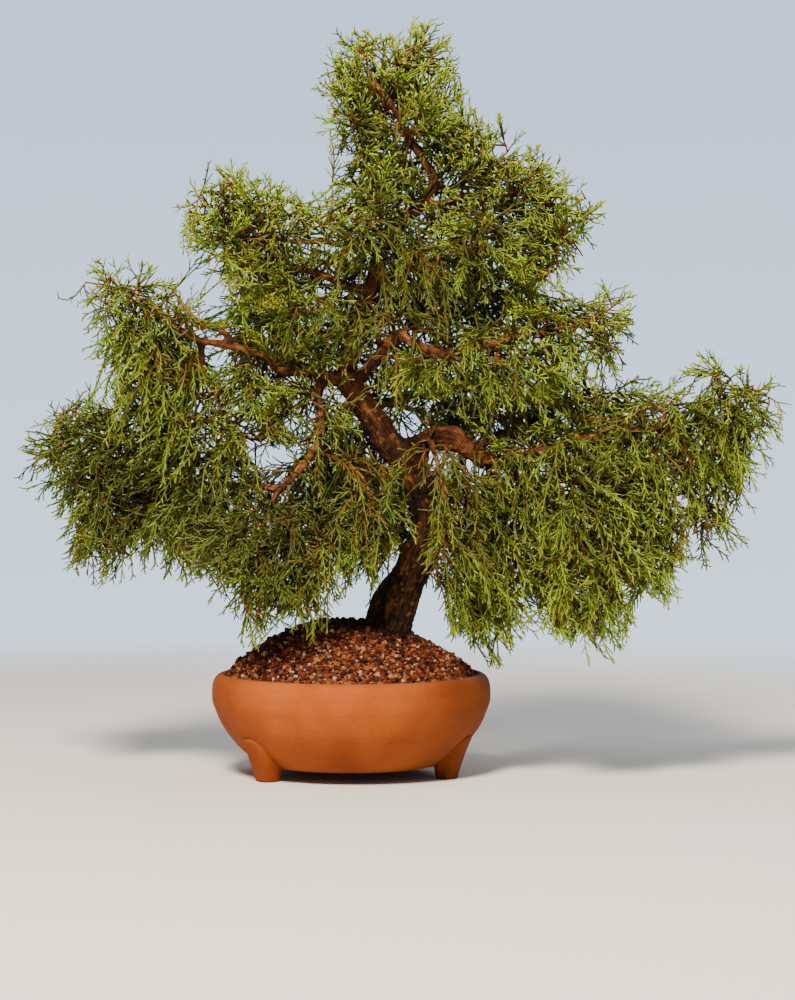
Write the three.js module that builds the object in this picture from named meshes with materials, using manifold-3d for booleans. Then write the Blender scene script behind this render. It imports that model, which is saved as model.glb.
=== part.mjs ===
// A drooping juniper bonsai in a round terracotta pot on three feet.
// Lengths are in millimetres, z is up, and the front of the pot faces -y.
import * as THREE from 'three';
import { mergeVertices } from 'three/addons/utils/BufferGeometryUtils.js';
import Module from 'manifold-3d';

const wasm = await Module();
wasm.setup();

// Places in the tables are [x, z, y]: right of the pot's middle, above the ground, and back from
// the middle. x and z are as seen by a viewer in front, so a place's depth moves it along the
// viewer's line of sight.
const VIEWER = new THREE.Vector3(46, -2500, 318);

// The pot: a thrown bowl whose rim curves inwards.
const POT_SIDES = 32;
const POT_OUTSIDE = [
  [88, 11], [103, 20], [114, 30], [123.5, 42], [130, 52], [135.5, 65], [139, 80], [138, 92],
];
const POT_OUTSIDE_ROWS = 7;
const POT_RIM = [[138, 92], [135.5, 97.5], [131, 101], [126, 100.5]];
const POT_RIM_ROWS = 3;
const POT_INSIDE = [[126, 99], [129.5, 86], [127, 66], [119, 48], [103, 31], [84, 21]];
const POT_BELLY = 139;
const RIM_TOP = 101;
const ABOVE_RIM = 120;
const DRAIN_RADIUS = 12;
const DRAIN_TOP = 40;
const DRAIN_SIDES = 16;
const FOOT_ANGLES = [-143, -21, 98];
// Each foot is a tongue that stands proud of the bowl: [height, distance from the pot's axis, radius].
const FOOT_ROWS = [[0, 100, 10.5], [10, 101.5, 13.5], [22, 100.5, 15], [32, 104, 14], [39, 112, 9]];
const FOOT_SIDES = 10;

// The screen over the drainage hole.
const SCREEN_RADIUS = 22;
const SCREEN_SIDES = 16;
const SCREEN_THICKNESS = 1.2;
const SCREEN_HOLE = 5.5;
const SCREEN_PITCH = 12;
const SCREEN_HOLES = [[0, 0], [1, 0], [-1, 0], [0, 1], [0, -1]];

// The mound of grit.
const SEAT_GAP = 0.35;
const SOIL_SKIRT = 99;
const SOIL_RISE = 52;
const SOIL_LEAN = [-0.15, 0.2];
const SOIL_RINGS = 9;
const SOIL_RELIEF = 1.3;
const SOIL_RELIEF_EDGE = 0.125;
const TRUNK_GAP = 0.45;

// The wood: each limb is a list of [x, z, y, radius], from its root to its end.
// Its knobs are the share by which its rows swell and narrow in turn.
const LIMBS = {
  trunk: {
    sides: 10,
    step: 30,
    lobes: 0.13,
    points: [
      [34, 88, 10, 16], [35, 108, 10, 19], [36, 131, 10, 26], [39, 154, 9, 23], [46, 174, 7, 21.5],
      [54, 189, 5, 18.5], [68, 219, 2, 17.5], [78, 244, 0, 17], [75, 269, 0, 15.5], [67, 289, 0, 15],
      [56, 309, 0, 15], [35, 334, 0, 13.5], [19, 359, 0, 12.5], [3, 381, 0, 11.5], [-5, 404, 0, 10.5],
      [0, 434, 0, 9.5], [11, 464, 0, 8.5], [22, 494, 0, 7.5], [28, 519, 0, 7], [46, 546, 0, 6.3],
      [70, 569, 0, 5.8], [82, 592, 0, 5], [71, 614, 0, 4.4], [56, 639, 0, 3.8], [40, 668, 0, 3.2],
      [24, 689, 0, 2.6], [16, 706, 0, 2],
    ],
  },
  right_low: {
    sides: 6,
    step: 24,
    knobs: 0.07,
    points: [
      [60, 319, 0, 12], [73, 333, -8, 11], [88, 336, -15, 11], [103, 334, -20, 10], [120, 322, -25, 9],
      [138, 313, -30, 8.5], [158, 312, -35, 7.5], [188, 322, -40, 6], [228, 334, -45, 5],
      [268, 342, -50, 4.2], [313, 349, -55, 3.5], [348, 366, -60, 2.8], [383, 379, -60, 2.1],
    ],
  },
  right_mid: {
    sides: 5,
    step: 24,
    points: [
      [123, 324, -24, 5.4], [139, 336, -8, 5], [160, 341, 8, 4.6], [187, 353, 22, 4.2], [206, 368, 34, 3.6],
      [228, 372, 42, 3], [258, 379, 48, 2.2],
    ],
  },
  right_upper: {
    sides: 6,
    step: 15,
    knobs: 0.13,
    points: [
      [2, 392, 0, 7], [16, 406, -12, 6.4], [27, 419, -18, 6], [40, 434, -24, 6], [48, 438, -27, 5.8],
      [60, 431, -30, 5.5], [78, 425, -32, 5.2], [96, 420, -34, 5], [118, 424, -35, 4.4], [148, 432, -34, 3.8],
      [188, 442, -30, 3.2], [228, 449, -25, 2.6], [253, 462, -20, 2.1],
    ],
  },
  left_upper: {
    sides: 6,
    step: 20,
    points: [
      [-3, 398, 0, 7], [-22, 396, -2, 5.8], [-43, 403, -4, 5.4], [-69, 403, -6, 5.2], [-87, 418, -8, 5],
      [-107, 423, -8, 4.6], [-119, 428, -8, 4.4], [-137, 431, -8, 3.9], [-154, 434, -8, 3.5],
      [-177, 449, -4, 3], [-197, 466, 4, 2.6], [-217, 479, 10, 2.1],
    ],
  },
  left_fork: {
    sides: 5,
    step: 16,
    points: [
      [-119, 429, -8, 3.8], [-126, 440, -8, 3.4], [-137, 447, -7, 3.1], [-147, 448, -6, 2.9],
      [-155, 454, -4, 2.8], [-163, 462, -2, 2.5], [-174, 478, 0, 2],
    ],
  },
  left_drop: {
    sides: 5,
    step: 16,
    points: [[-150, 432, -8, 3.2], [-148, 409, -10, 2.8], [-143, 391, -13, 2.5], [-133, 374, -16, 2]],
  },
  left_low: {
    sides: 6,
    step: 24,
    points: [
      [-26, 397, -2, 5], [-32, 386, -8, 4.8], [-33, 374, -12, 4.6], [-30, 354, -18, 4.4],
      [-32, 336, -22, 4.3], [-39, 321, -25, 4.2], [-49, 308, -28, 4.2], [-60, 296, -30, 4],
      [-71, 286, -30, 3.8],
      [-90, 287, -29, 3.5], [-112, 288, -26, 3.3], [-140, 290, -20, 3], [-172, 294, -12, 2.8],
      [-212, 306, 0, 2.5], [-247, 319, 8, 2.2], [-272, 329, 10, 2],
    ],
  },
  left_front: {
    sides: 5,
    step: 17,
    points: [[-70, 286, -30, 3.2], [-76, 278, -40, 3], [-80, 268, -54, 2.6], [-88, 250, -76, 2]],
  },
  middle_twig: {
    sides: 5,
    step: 15,
    points: [
      [-39, 321, -25, 2.8], [-19, 316, -32, 2.4], [-4, 306, -38, 2.1], [10, 298, -42, 2], [18, 282, -46, 1.8],
    ],
  },
  upper_left: {
    sides: 5,
    step: 24,
    points: [
      [18, 484, 0, 5], [-2, 487, -5, 4.5], [-16, 493, -8, 4], [-35, 501, -10, 3.6], [-55, 506, -12, 3.3],
      [-68, 515, -13, 3], [-84, 527, -14, 2.7], [-97, 541, -15, 2.4], [-114, 555, -15, 2.1],
      [-137, 567, -15, 1.8],
    ],
  },
  upper_left_fork: {
    sides: 5,
    step: 24,
    points: [
      [30, 521, 0, 4], [-11, 529, -10, 3.3], [-27, 532, -16, 3], [-49, 532, -22, 2.7], [-67, 534, -27, 2.4],
      [-84, 544, -34, 2],
    ],
  },
  upper_right: {
    sides: 5,
    step: 27,
    points: [
      [71, 567, 0, 4.6], [88, 569, 1, 4.4], [103, 573, 2, 4], [122, 579, 3, 3.6], [148, 579, 5, 3.2],
      [178, 579, 7, 2.7], [208, 577, 9, 2.3], [228, 574, 10, 2],
    ],
  },
  middle_right: {
    sides: 5,
    step: 27,
    points: [
      [20, 488, 0, 4.8], [43, 485, 14, 4.2], [78, 486, 28, 3.8], [118, 479, 36, 3.3], [158, 474, 40, 2.8],
      [198, 469, 42, 2.2],
    ],
  },
  back_left: {
    sides: 5,
    step: 27,
    points: [[0, 430, 0, 4.8], [-22, 439, 40, 4.2], [-52, 444, 90, 3.2], [-87, 454, 130, 2.2]],
  },
  back_right: {
    sides: 5,
    step: 27,
    points: [[15, 363, 0, 5.4], [43, 374, 50, 4.8], [78, 379, 100, 3.6], [118, 389, 150, 2.2]],
  },
  front_low: {
    sides: 5,
    step: 18,
    points: [[80, 336, -12, 4], [80, 330, -32, 3.2], [88, 304, -55, 2.6], [93, 274, -66, 2]],
  },
  back_low: {
    sides: 5,
    step: 27,
    points: [[78, 242, 0, 4.8], [78, 254, 50, 4], [73, 269, 100, 3], [63, 279, 148, 2]],
  },
  back_low_left: {
    sides: 5,
    step: 27,
    points: [[35, 336, 0, 4.8], [32, 335, 45, 4], [13, 344, 90, 3], [-12, 349, 130, 2]],
  },
  right_hang: {
    sides: 5,
    step: 18,
    points: [[186, 321, -40, 3.8], [198, 314, -46, 3.2], [210, 303, -56, 2.6], [233, 284, -70, 2]],
  },
  right_drop: {
    sides: 5,
    step: 18,
    points: [[158, 312, -35, 3.8], [166, 298, -38, 3], [168, 282, -41, 2.4], [163, 256, -44, 1.8]],
  },
};

// How the limbs are drawn.
const PLAIN_KNOB = 0.03;
const ROW_TWIST = 0.25;
const LOBES = 3;
const LOBE_ROWS = 9;
const LOBE_LEAST = 0.2;
const CURVE_SAMPLES = 20;

// The leafy sprays: [limb, how far along it, tip of the stem, tips of the stems that fork from it].
const SPRAYS = {
  apex: [
    ['trunk', 1, [20, 750, 0], [-10, 742, -6]],
    ['trunk', 0.95, [73, 746, 0], [50, 735, 12]],
    ['trunk', 0.93, [-20, 712, -12], [-36, 690, -5]],
    ['trunk', 0.91, [103, 706, 0], [110, 674, 16]],
    ['trunk', 0.885, [-22, 646, -8], [-30, 668, -28]],
    ['trunk', 0.86, [134, 658, 5], [98, 648, -28]],
    ['trunk', 0.9, [48, 684, 72], [12, 660, 62]],
    ['trunk', 0.87, [38, 650, -68], [72, 676, -54]],
    ['trunk', 0.8, [170, 634, 15], [146, 612, -24], [196, 622, 10]],
  ],
  upper_right: [
    ['upper_right', 1, [250, 574, 5], [224, 602, 14]],
    ['upper_right', 0.76, [240, 500, -20], [256, 542, -14], [204, 488, -38]],
    ['upper_right', 0.34, [152, 502, -34], [126, 520, -52]],
    ['upper_right', 0.5, [188, 540, 78], [146, 572, 70]],
  ],
  upper_left: [
    ['upper_left', 1, [-178, 556, -10], [-160, 592, -4]],
    ['upper_left_fork', 1, [-92, 596, -26], [-62, 588, -38], [-120, 604, -12]],
    ['upper_left', 0.78, [-157, 518, -10], [-140, 496, -28]],
    ['upper_left', 0.55, [-124, 462, -18], [-98, 476, -40]],
    ['upper_left', 0.3, [-66, 444, -34], [-40, 458, -48]],
    ['upper_left_fork', 0.45, [-36, 584, -16], [-18, 606, 14]],
    ['upper_left', 0.62, [-92, 518, 74], [-118, 548, 60]],
  ],
  middle_left: [
    ['left_upper', 1, [-284, 489, 8], [-256, 506, 14], [-230, 516, -4]],
    ['left_fork', 1, [-182, 504, 0], [-160, 492, 16]],
    ['left_upper', 0.88, [-264, 430, -6], [-272, 458, -14]],
    ['left_upper', 0.78, [-248, 388, -16], [-212, 378, -34]],
    ['left_drop', 1, [-130, 329, -22], [-160, 336, -34], [-100, 342, -30]],
    ['left_upper', 0.72, [-168, 420, 76], [-202, 446, 64]],
  ],
  lower_left: [
    ['left_low', 1, [-334, 304, 8], [-314, 350, 12], [-280, 380, 5]],
    ['left_low', 0.9, [-290, 230, -10], [-264, 200, -16]],
    ['left_low', 0.76, [-206, 198, -24], [-228, 214, -8], [-176, 206, -46]],
    ['left_low', 0.84, [-236, 378, 2], [-204, 364, -14]],
    ['left_low', 0.82, [-212, 262, 86], [-172, 236, 76]],
    ['left_front', 1, [-118, 152, -92], [-98, 136, -104], [-146, 200, -72]],
    ['left_front', 0.66, [-66, 144, -98], [-42, 142, -86]],
  ],
  centre: [
    ['middle_twig', 1, [-4, 182, -62], [18, 204, -56], [-34, 208, -66]],
    ['front_low', 1, [82, 178, -72], [104, 196, -84]],
    ['back_low_left', 1, [-40, 236, 126], [-8, 250, 140]],
    ['back_low', 1, [44, 180, 168], [84, 196, 160]],
    ['trunk', 0.69, [16, 552, -52], [-12, 524, -58]],
    ['trunk', 0.63, [74, 520, -40], [92, 500, -56]],
  ],
  middle_right: [
    ['right_upper', 1, [280, 484, -16], [252, 490, -4]],
    ['right_upper', 0.92, [278, 428, -26], [260, 404, -30]],
    ['right_upper', 0.62, [140, 374, -48], [170, 380, -56]],
    ['right_upper', 0.72, [180, 486, -44], [206, 478, -20]],
    ['middle_right', 0.5, [116, 424, 48], [88, 440, 62]],
    ['middle_right', 1, [204, 482, 58], [228, 444, 62]],
  ],
  right: [
    ['right_low', 1, [434, 374, -60], [416, 396, -54]],
    ['right_low', 0.95, [356, 424, -55], [388, 408, -72]],
    ['right_low', 0.88, [396, 248, -72], [416, 300, -78], [360, 208, -64]],
    ['right_low', 0.78, [316, 386, -56], [292, 392, -40]],
    ['right_low', 0.72, [324, 174, -72], [296, 162, -60]],
    ['right_hang', 1, [244, 110, -82], [272, 150, -88]],
    ['right_drop', 1, [148, 114, -50], [124, 110, -42]],
    ['right_mid', 1, [284, 398, 52], [300, 330, 60]],
  ],
  back: [
    ['back_left', 1, [-112, 474, 176], [-84, 410, 190]],
    ['back_right', 1, [150, 360, 196], [110, 320, 180]],
  ],
};

// A leafy stem is a slim three-sided core with whorls of three branchlets, one on each side of a band.
const STEM_SIDES = 3;
const STEM_RADIUS = 1.5;
const STEM_TIP_RADIUS = 0.8;
const STEM_BARE = 12;
const BARE_SHARE = 0.3;
const FORK_BARE = 9;
const FORK_FOOT = 0.4;
const FORK_AT = [0.15, 0.4];
const BAND = 2.2;
const WHORL_SPACING = 13.2;
const WHORL_TWIST = 0.82;
const BRANCHLET = 18;
const BRANCHLET_LEAST = 0.85;
const BRANCHLET_SPREAD = 0.35;
const LAST_WHORL = 0.85;
const SHORTER = [1, 0.75, 0.5];
const BRANCHLET_ANGLE = 0.66;
const BRANCHLET_DROOP = 0.16;
const BRANCHLET_RADII = [1, 0.7, 0.1];
const END_BRANCHLET = 13;
const END_SHARE = 0.4;
const GOLDEN = 0.6180339887;

// How a stem leaves its limb and bends to its tip.
const LEAVING_ONWARD = 0.5;
const LEAVING_LIFT = 0.3;
const HANDLE = 0.35;
const HANGS_BELOW = 12;
const HANGING_END = -0.45;
const RISING_END = 0.25;

// The room kept between the pieces, and the shifts in depth that are tried to find it.
const ROOT_GAP = 0.3;
const TIP_SINK = 2;
const EDGE_REACH = 4;
const CLEARANCE = 0.55;
const WIDEST_STEM = 2.5;
const POT_CLEARANCE = 4;
const SOIL_CLEARANCE = 5;
const NEAR_LIMB = 11;
const NEAR_STEM = 14;
const DEPTH_SHIFTS = [0, 8, -8, 16, -16, 24, -24, 32, -32];

const FOLIAGE_GREENS = ['#6e7a2c', '#62702a', '#76863a', '#566826', '#8a9a3e'];

function place([x, z, y]) {
  const front = new THREE.Vector3(x, 0, z);
  return front.sub(VIEWER).multiplyScalar((y - VIEWER.y) / -VIEWER.y).add(VIEWER);
}

function mergedGeometry(geometry) {
  const bare = new THREE.BufferGeometry();
  bare.setAttribute('position', geometry.getAttribute('position').clone());
  bare.setIndex(geometry.getIndex());
  const merged = mergeVertices(bare, 1e-4);
  const corners = Array.from(merged.getIndex().array);
  const kept = [];
  for (let i = 0; i < corners.length; i += 3) {
    const [a, b, c] = corners.slice(i, i + 3);
    if (a !== b && b !== c && c !== a) kept.push(a, b, c);
  }
  merged.setIndex(kept);
  return merged;
}

function solidOf(geometry) {
  const merged = mergedGeometry(geometry);
  return new wasm.Manifold(new wasm.Mesh({
    numProp: 3,
    vertProperties: new Float32Array(merged.getAttribute('position').array),
    triVerts: new Uint32Array(merged.getIndex().array),
  }));
}

function geometryOf(solid) {
  const mesh = solid.getMesh();
  const geometry = new THREE.BufferGeometry();
  geometry.setAttribute('position', new THREE.BufferAttribute(mesh.vertProperties, 3));
  geometry.setIndex(new THREE.BufferAttribute(mesh.triVerts, 1));
  geometry.computeVertexNormals();
  return geometry;
}

// Turns a closed profile of [radius, height] about the z axis.
function turned(profile, sides) {
  const points = profile.map(([radius, height]) => new THREE.Vector2(radius, height));
  return new THREE.LatheGeometry(points, sides).rotateX(Math.PI / 2);
}

// Moves each vertex of a cylinder or cone by its row and side. A vertex on the axis has no side.
function reshaped(column, rows, sides, move) {
  const geometry = mergedGeometry(column);
  const position = geometry.getAttribute('position');
  for (let i = 0; i < position.count; i++) {
    const x = position.getX(i);
    const z = position.getZ(i);
    const row = Math.round((position.getY(i) + 0.5) * rows);
    const turn = Math.round((Math.atan2(x, z) / (2 * Math.PI)) * sides);
    const side = Math.hypot(x, z) < 1e-6 ? null : (turn + sides) % sides;
    position.setXYZ(i, ...move(row, side).toArray());
  }
  return geometry;
}

// Untwisted frames at given distances along a curve.
function framesAlong(curve, distances) {
  const length = curve.getLength();
  let normal = new THREE.Vector3(0.3, -0.9, 0.3);
  return distances.map((distance) => {
    const share = THREE.MathUtils.clamp(distance / length, 0, 1);
    const tangent = curve.getTangentAt(share);
    normal = normal.clone().addScaledVector(tangent, -normal.dot(tangent)).normalize();
    const binormal = new THREE.Vector3().crossVectors(normal, tangent);
    return { point: curve.getPointAt(share), tangent, normal, binormal };
  });
}

function outward(frame, angle) {
  const direction = frame.normal.clone().multiplyScalar(Math.sin(angle));
  return direction.addScaledVector(frame.binormal, Math.cos(angle));
}

// Points spaced evenly along a smooth curve through a profile of [radius, height].
function smoothed(profile, rows) {
  const curve = new THREE.SplineCurve(profile.map(([radius, height]) => new THREE.Vector2(radius, height)));
  return curve.getPoints(rows).map((point) => [point.x, point.y]);
}

function potSolid() {
  const outside = smoothed(POT_OUTSIDE, POT_OUTSIDE_ROWS);
  const rim = smoothed(POT_RIM, POT_RIM_ROWS).slice(1);
  const body = solidOf(turned([[0, POT_OUTSIDE[0][1]], ...outside, ...rim, [0, RIM_TOP]], POT_SIDES));
  const inside = POT_INSIDE.slice().reverse();
  const [floor] = inside;
  const mouth = [[POT_INSIDE[0][0], ABOVE_RIM], [0, ABOVE_RIM]];
  const cavity = solidOf(turned([[0, floor[1]], ...inside, ...mouth], POT_SIDES));
  const drainProfile = [[0, 0], [DRAIN_RADIUS, 0], [DRAIN_RADIUS, DRAIN_TOP], [0, DRAIN_TOP]];
  const drain = solidOf(turned(drainProfile, DRAIN_SIDES));
  let pot = body;
  for (const degrees of FOOT_ANGLES) pot = pot.add(footSolid(THREE.MathUtils.degToRad(degrees)));
  return pot.subtract(cavity).subtract(drain);
}

function footSolid(angle) {
  const rows = FOOT_ROWS.length - 1;
  const column = new THREE.CylinderGeometry(1, 1, 1, FOOT_SIDES, rows);
  return solidOf(reshaped(column, rows, FOOT_SIDES, (row, side) => {
    const [height, distance, radius] = FOOT_ROWS[row];
    const spread = side === null ? 0 : radius;
    const turn = ((side ?? 0) / FOOT_SIDES) * 2 * Math.PI;
    const x = distance + spread * Math.sin(turn);
    const y = spread * -Math.cos(turn);
    return new THREE.Vector3(x, y, height).applyAxisAngle(new THREE.Vector3(0, 0, 1), angle);
  }));
}

function screenSolid() {
  const disc = new THREE.CylinderGeometry(SCREEN_RADIUS, SCREEN_RADIUS, SCREEN_THICKNESS, SCREEN_SIDES);
  let screen = solidOf(disc.rotateX(Math.PI / 2));
  for (const [i, j] of SCREEN_HOLES) {
    const hole = new THREE.BoxGeometry(SCREEN_HOLE, SCREEN_HOLE, SCREEN_THICKNESS * 2);
    screen = screen.subtract(solidOf(hole.translate(i * SCREEN_PITCH, j * SCREEN_PITCH, 0)));
  }
  return screen.translate([0, 0, POT_INSIDE.at(-1)[1] + SEAT_GAP + SCREEN_THICKNESS / 2]);
}

// The mound falls to the rim on every side, and its top lies left of and behind the middle.
// Its small bumps die out towards the rim.
function moundHeight(x, y) {
  const reach = POT_INSIDE[0][0];
  const [u, v] = [x / reach, y / reach];
  const fall = Math.max(0, 1 - u * u - v * v);
  const bumps = Math.sin(x * 0.55 + 1.3) * Math.sin(y * 0.5 + 0.7) + 0.5 * Math.sin(x * 1.1 + y * 0.9);
  const relief = SOIL_RELIEF * bumps * Math.min(1, fall / SOIL_RELIEF_EDGE);
  return SOIL_SKIRT + SOIL_RISE * fall * (1 + SOIL_LEAN[0] * u + SOIL_LEAN[1] * v) + relief;
}

function soilSolid(trunkHole) {
  const wall = POT_INSIDE.slice().reverse().map(([radius, height]) => [radius - SEAT_GAP, height + SEAT_GAP]);
  const bottom = wall[0][1];
  const recess = SCREEN_RADIUS + SEAT_GAP;
  const recessTop = POT_INSIDE.at(-1)[1] + SCREEN_THICKNESS + 2 * SEAT_GAP;
  const edge = wall.at(-1)[0];
  const top = [];
  for (let ring = 0; ring <= SOIL_RINGS; ring++) {
    top.push([edge * (1 - ring / SOIL_RINGS), SOIL_SKIRT + SEAT_GAP]);
  }
  const profile = [[0, recessTop], [recess, recessTop], [recess, bottom], ...wall.slice(0, -1), ...top];
  const geometry = turned(profile, POT_SIDES);
  const position = geometry.getAttribute('position');
  for (let i = 0; i < position.count; i++) {
    if (position.getZ(i) < SOIL_SKIRT) continue;
    position.setZ(i, moundHeight(position.getX(i), position.getY(i)) + SEAT_GAP);
  }
  return solidOf(geometry).subtract(trunkHole);
}

function limbFrom(spec) {
  const curve = new THREE.CatmullRomCurve3(spec.points.map(place), false, 'centripetal');
  const length = curve.getLength();
  const last = spec.points.length - 1;
  const lengths = curve.getLengths(last * CURVE_SAMPLES);
  const radiusAt = (distance) => {
    let i = 0;
    while (i < last - 1 && lengths[(i + 1) * CURVE_SAMPLES] < distance) i++;
    const [from, to] = [lengths[i * CURVE_SAMPLES], lengths[(i + 1) * CURVE_SAMPLES]];
    const share = THREE.MathUtils.clamp((distance - from) / (to - from), 0, 1);
    return THREE.MathUtils.lerp(spec.points[i][3], spec.points[i + 1][3], share);
  };
  const rows = Math.max(3, Math.round(length / spec.step));
  const distances = Array.from({ length: rows + 1 }, (_, row) => (row / rows) * length);
  const frames = framesAlong(curve, distances);
  const knob = (row) => 1 + (spec.knobs ?? PLAIN_KNOB) * (row % 2 === 0 ? 1 : -1);
  const radii = distances.map((distance, row) => radiusAt(distance) * (row < rows ? knob(row) : 1));
  return { spec, curve, length, rows, frames, radii };
}

// A limb as a closed solid, its skin moved out by a given amount. A lobed limb flares at its foot.
function limbSolid(limb, grow = 0) {
  const { spec, rows, frames, radii } = limb;
  const column = new THREE.CylinderGeometry(1, 1, 1, spec.sides, rows);
  return solidOf(reshaped(column, rows, spec.sides, (row, side) => {
    const frame = frames[row];
    if (side === null) return frame.point.clone().addScaledVector(frame.tangent, row === 0 ? -grow : grow);
    const angle = (side / spec.sides) * 2 * Math.PI + row * ROW_TWIST;
    const flare = Math.max(LOBE_LEAST, 1 - row / LOBE_ROWS);
    const lobe = 1 + (spec.lobes ?? 0) * Math.cos(LOBES * angle) * flare;
    const point = frame.point.clone().addScaledVector(outward(frame, angle), radii[row] * lobe + grow);
    return point.addScaledVector(frame.tangent, row === 0 ? -grow : 0);
  }));
}

const limbs = {};
for (const [name, spec] of Object.entries(LIMBS)) limbs[name] = limbFrom(spec);
const wood = wasm.Manifold.union(Object.values(limbs).map((limb) => limbSolid(limb)));
const trunkHole = limbSolid(limbs.trunk, TRUNK_GAP);

// What is already placed, as tapered segments, so that nothing new crosses it.
const placed = [];

function addSegment(owner, kind, from, to, fromRadius, toRadius, at) {
  const box = new THREE.Box3().setFromPoints([from, to]).expandByScalar(Math.max(fromRadius, toRadius));
  placed.push({ owner, kind, from, to, fromRadius, toRadius, at, box });
}

// How much room lies between two tapered segments, after their radii: the closest points of the two
// middle lines lie at shares s and t of them.
function roomBetween(one, other) {
  const u = one.to.clone().sub(one.from);
  const v = other.to.clone().sub(other.from);
  const w = one.from.clone().sub(other.from);
  const [a, b, c, d, e] = [u.dot(u), u.dot(v), v.dot(v), u.dot(w), v.dot(w)];
  const wide = a * c - b * b;
  const clamp = (value) => THREE.MathUtils.clamp(value, 0, 1);
  let s = wide > 1e-9 ? clamp((b * e - c * d) / wide) : 0;
  const t = clamp((b * s + e) / c);
  s = clamp((b * t - d) / a);
  const gap = w.addScaledVector(u, s).addScaledVector(v, -t).length();
  const oneRadius = THREE.MathUtils.lerp(one.fromRadius, one.toRadius, s);
  return gap - oneRadius - THREE.MathUtils.lerp(other.fromRadius, other.toRadius, t);
}

function isFree(segment, ignores) {
  const margin = CLEARANCE + WIDEST_STEM;
  const box = new THREE.Box3().setFromPoints([segment.from, segment.to]).expandByScalar(margin);
  return placed.every((other) => !box.intersectsBox(other.box) || ignores(other)
    || roomBetween(segment, other) > CLEARANCE);
}

function clearsPot(point) {
  const radius = Math.hypot(point.x, point.y);
  if (radius < POT_BELLY + POT_CLEARANCE && point.z < RIM_TOP + POT_CLEARANCE) return false;
  return radius > POT_INSIDE[0][0] || point.z > moundHeight(point.x, point.y) + SOIL_CLEARANCE;
}

for (const [name, limb] of Object.entries(limbs)) {
  const lobe = 1 + (limb.spec.lobes ?? 0);
  for (let row = 0; row < limb.rows; row++) {
    const [from, to] = [limb.frames[row].point, limb.frames[row + 1].point];
    addSegment('wood', name, from, to, limb.radii[row] * lobe, limb.radii[row + 1] * lobe, 0);
  }
}

const woodMesh = wood.getMesh();
const woodCorner = (corner) => new THREE.Vector3().fromArray(woodMesh.vertProperties, corner * 3);
const woodTriangles = [];
for (let i = 0; i < woodMesh.triVerts.length; i += 3) {
  woodTriangles.push(Array.from(woodMesh.triVerts.slice(i, i + 3)).map(woodCorner));
}

// The distance along a line, from inside the wood, at which it comes out.
function wayOut(from, direction) {
  const ray = new THREE.Ray(from, direction);
  const hit = new THREE.Vector3();
  let nearest = Infinity;
  for (const [a, b, c] of woodTriangles) {
    if (ray.intersectTriangle(a, b, c, false, hit)) nearest = Math.min(nearest, hit.distanceTo(from));
  }
  return nearest;
}

// The way a side shoot leaves what carries it: well to the side, then a little onward.
function leaving(along, direction) {
  const onward = direction.dot(along) > 0 ? LEAVING_ONWARD : -LEAVING_ONWARD;
  const side = direction.clone().add(new THREE.Vector3(0, 0, LEAVING_LIFT));
  side.addScaledVector(along, -side.dot(along)).normalize();
  return side.addScaledVector(along, onward).normalize();
}

// A stem's foot stands on the limb's surface, square to the way the stem leaves.
function stemFoot(limb, at, tip) {
  const row = Math.min(Math.floor(at * limb.rows), limb.rows - 1);
  const [before, after] = [limb.frames[row].point, limb.frames[row + 1].point];
  const point = before.clone().lerp(after, at * limb.rows - row);
  const along = limb.curve.getTangentAt(at);
  const toTip = tip.clone().sub(point).normalize();
  const direction = at === 1 ? toTip.add(along).normalize() : leaving(along, toTip);
  if (at === 1) point.addScaledVector(along, -TIP_SINK);
  const [frame] = framesAlong(new THREE.LineCurve3(point, point.clone().add(direction)), [0]);
  const corners = [0, 1, 2].map((side) => point.clone().addScaledVector(
    outward(frame, (side / STEM_SIDES) * 2 * Math.PI), STEM_RADIUS));
  const middle = wayOut(point, direction);
  const edges = corners.map((start) => wayOut(start, direction)).filter((out) => out < middle + EDGE_REACH);
  return { root: point.addScaledVector(direction, Math.max(middle, ...edges) + ROOT_GAP), direction };
}

function stemCurve(root, direction, tip, shift) {
  const end = tip.clone().add(new THREE.Vector3(0, shift, 0));
  const reach = end.distanceTo(root) * HANDLE;
  const fall = end.z < root.z + HANGS_BELOW ? HANGING_END : RISING_END;
  const arrive = end.clone().sub(root).normalize().add(new THREE.Vector3(0, 0, fall)).normalize();
  const first = root.clone().addScaledVector(direction, reach).add(new THREE.Vector3(0, shift / 2, 0));
  return new THREE.CubicBezierCurve3(root, first, end.clone().addScaledVector(arrive, -reach), end);
}

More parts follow.
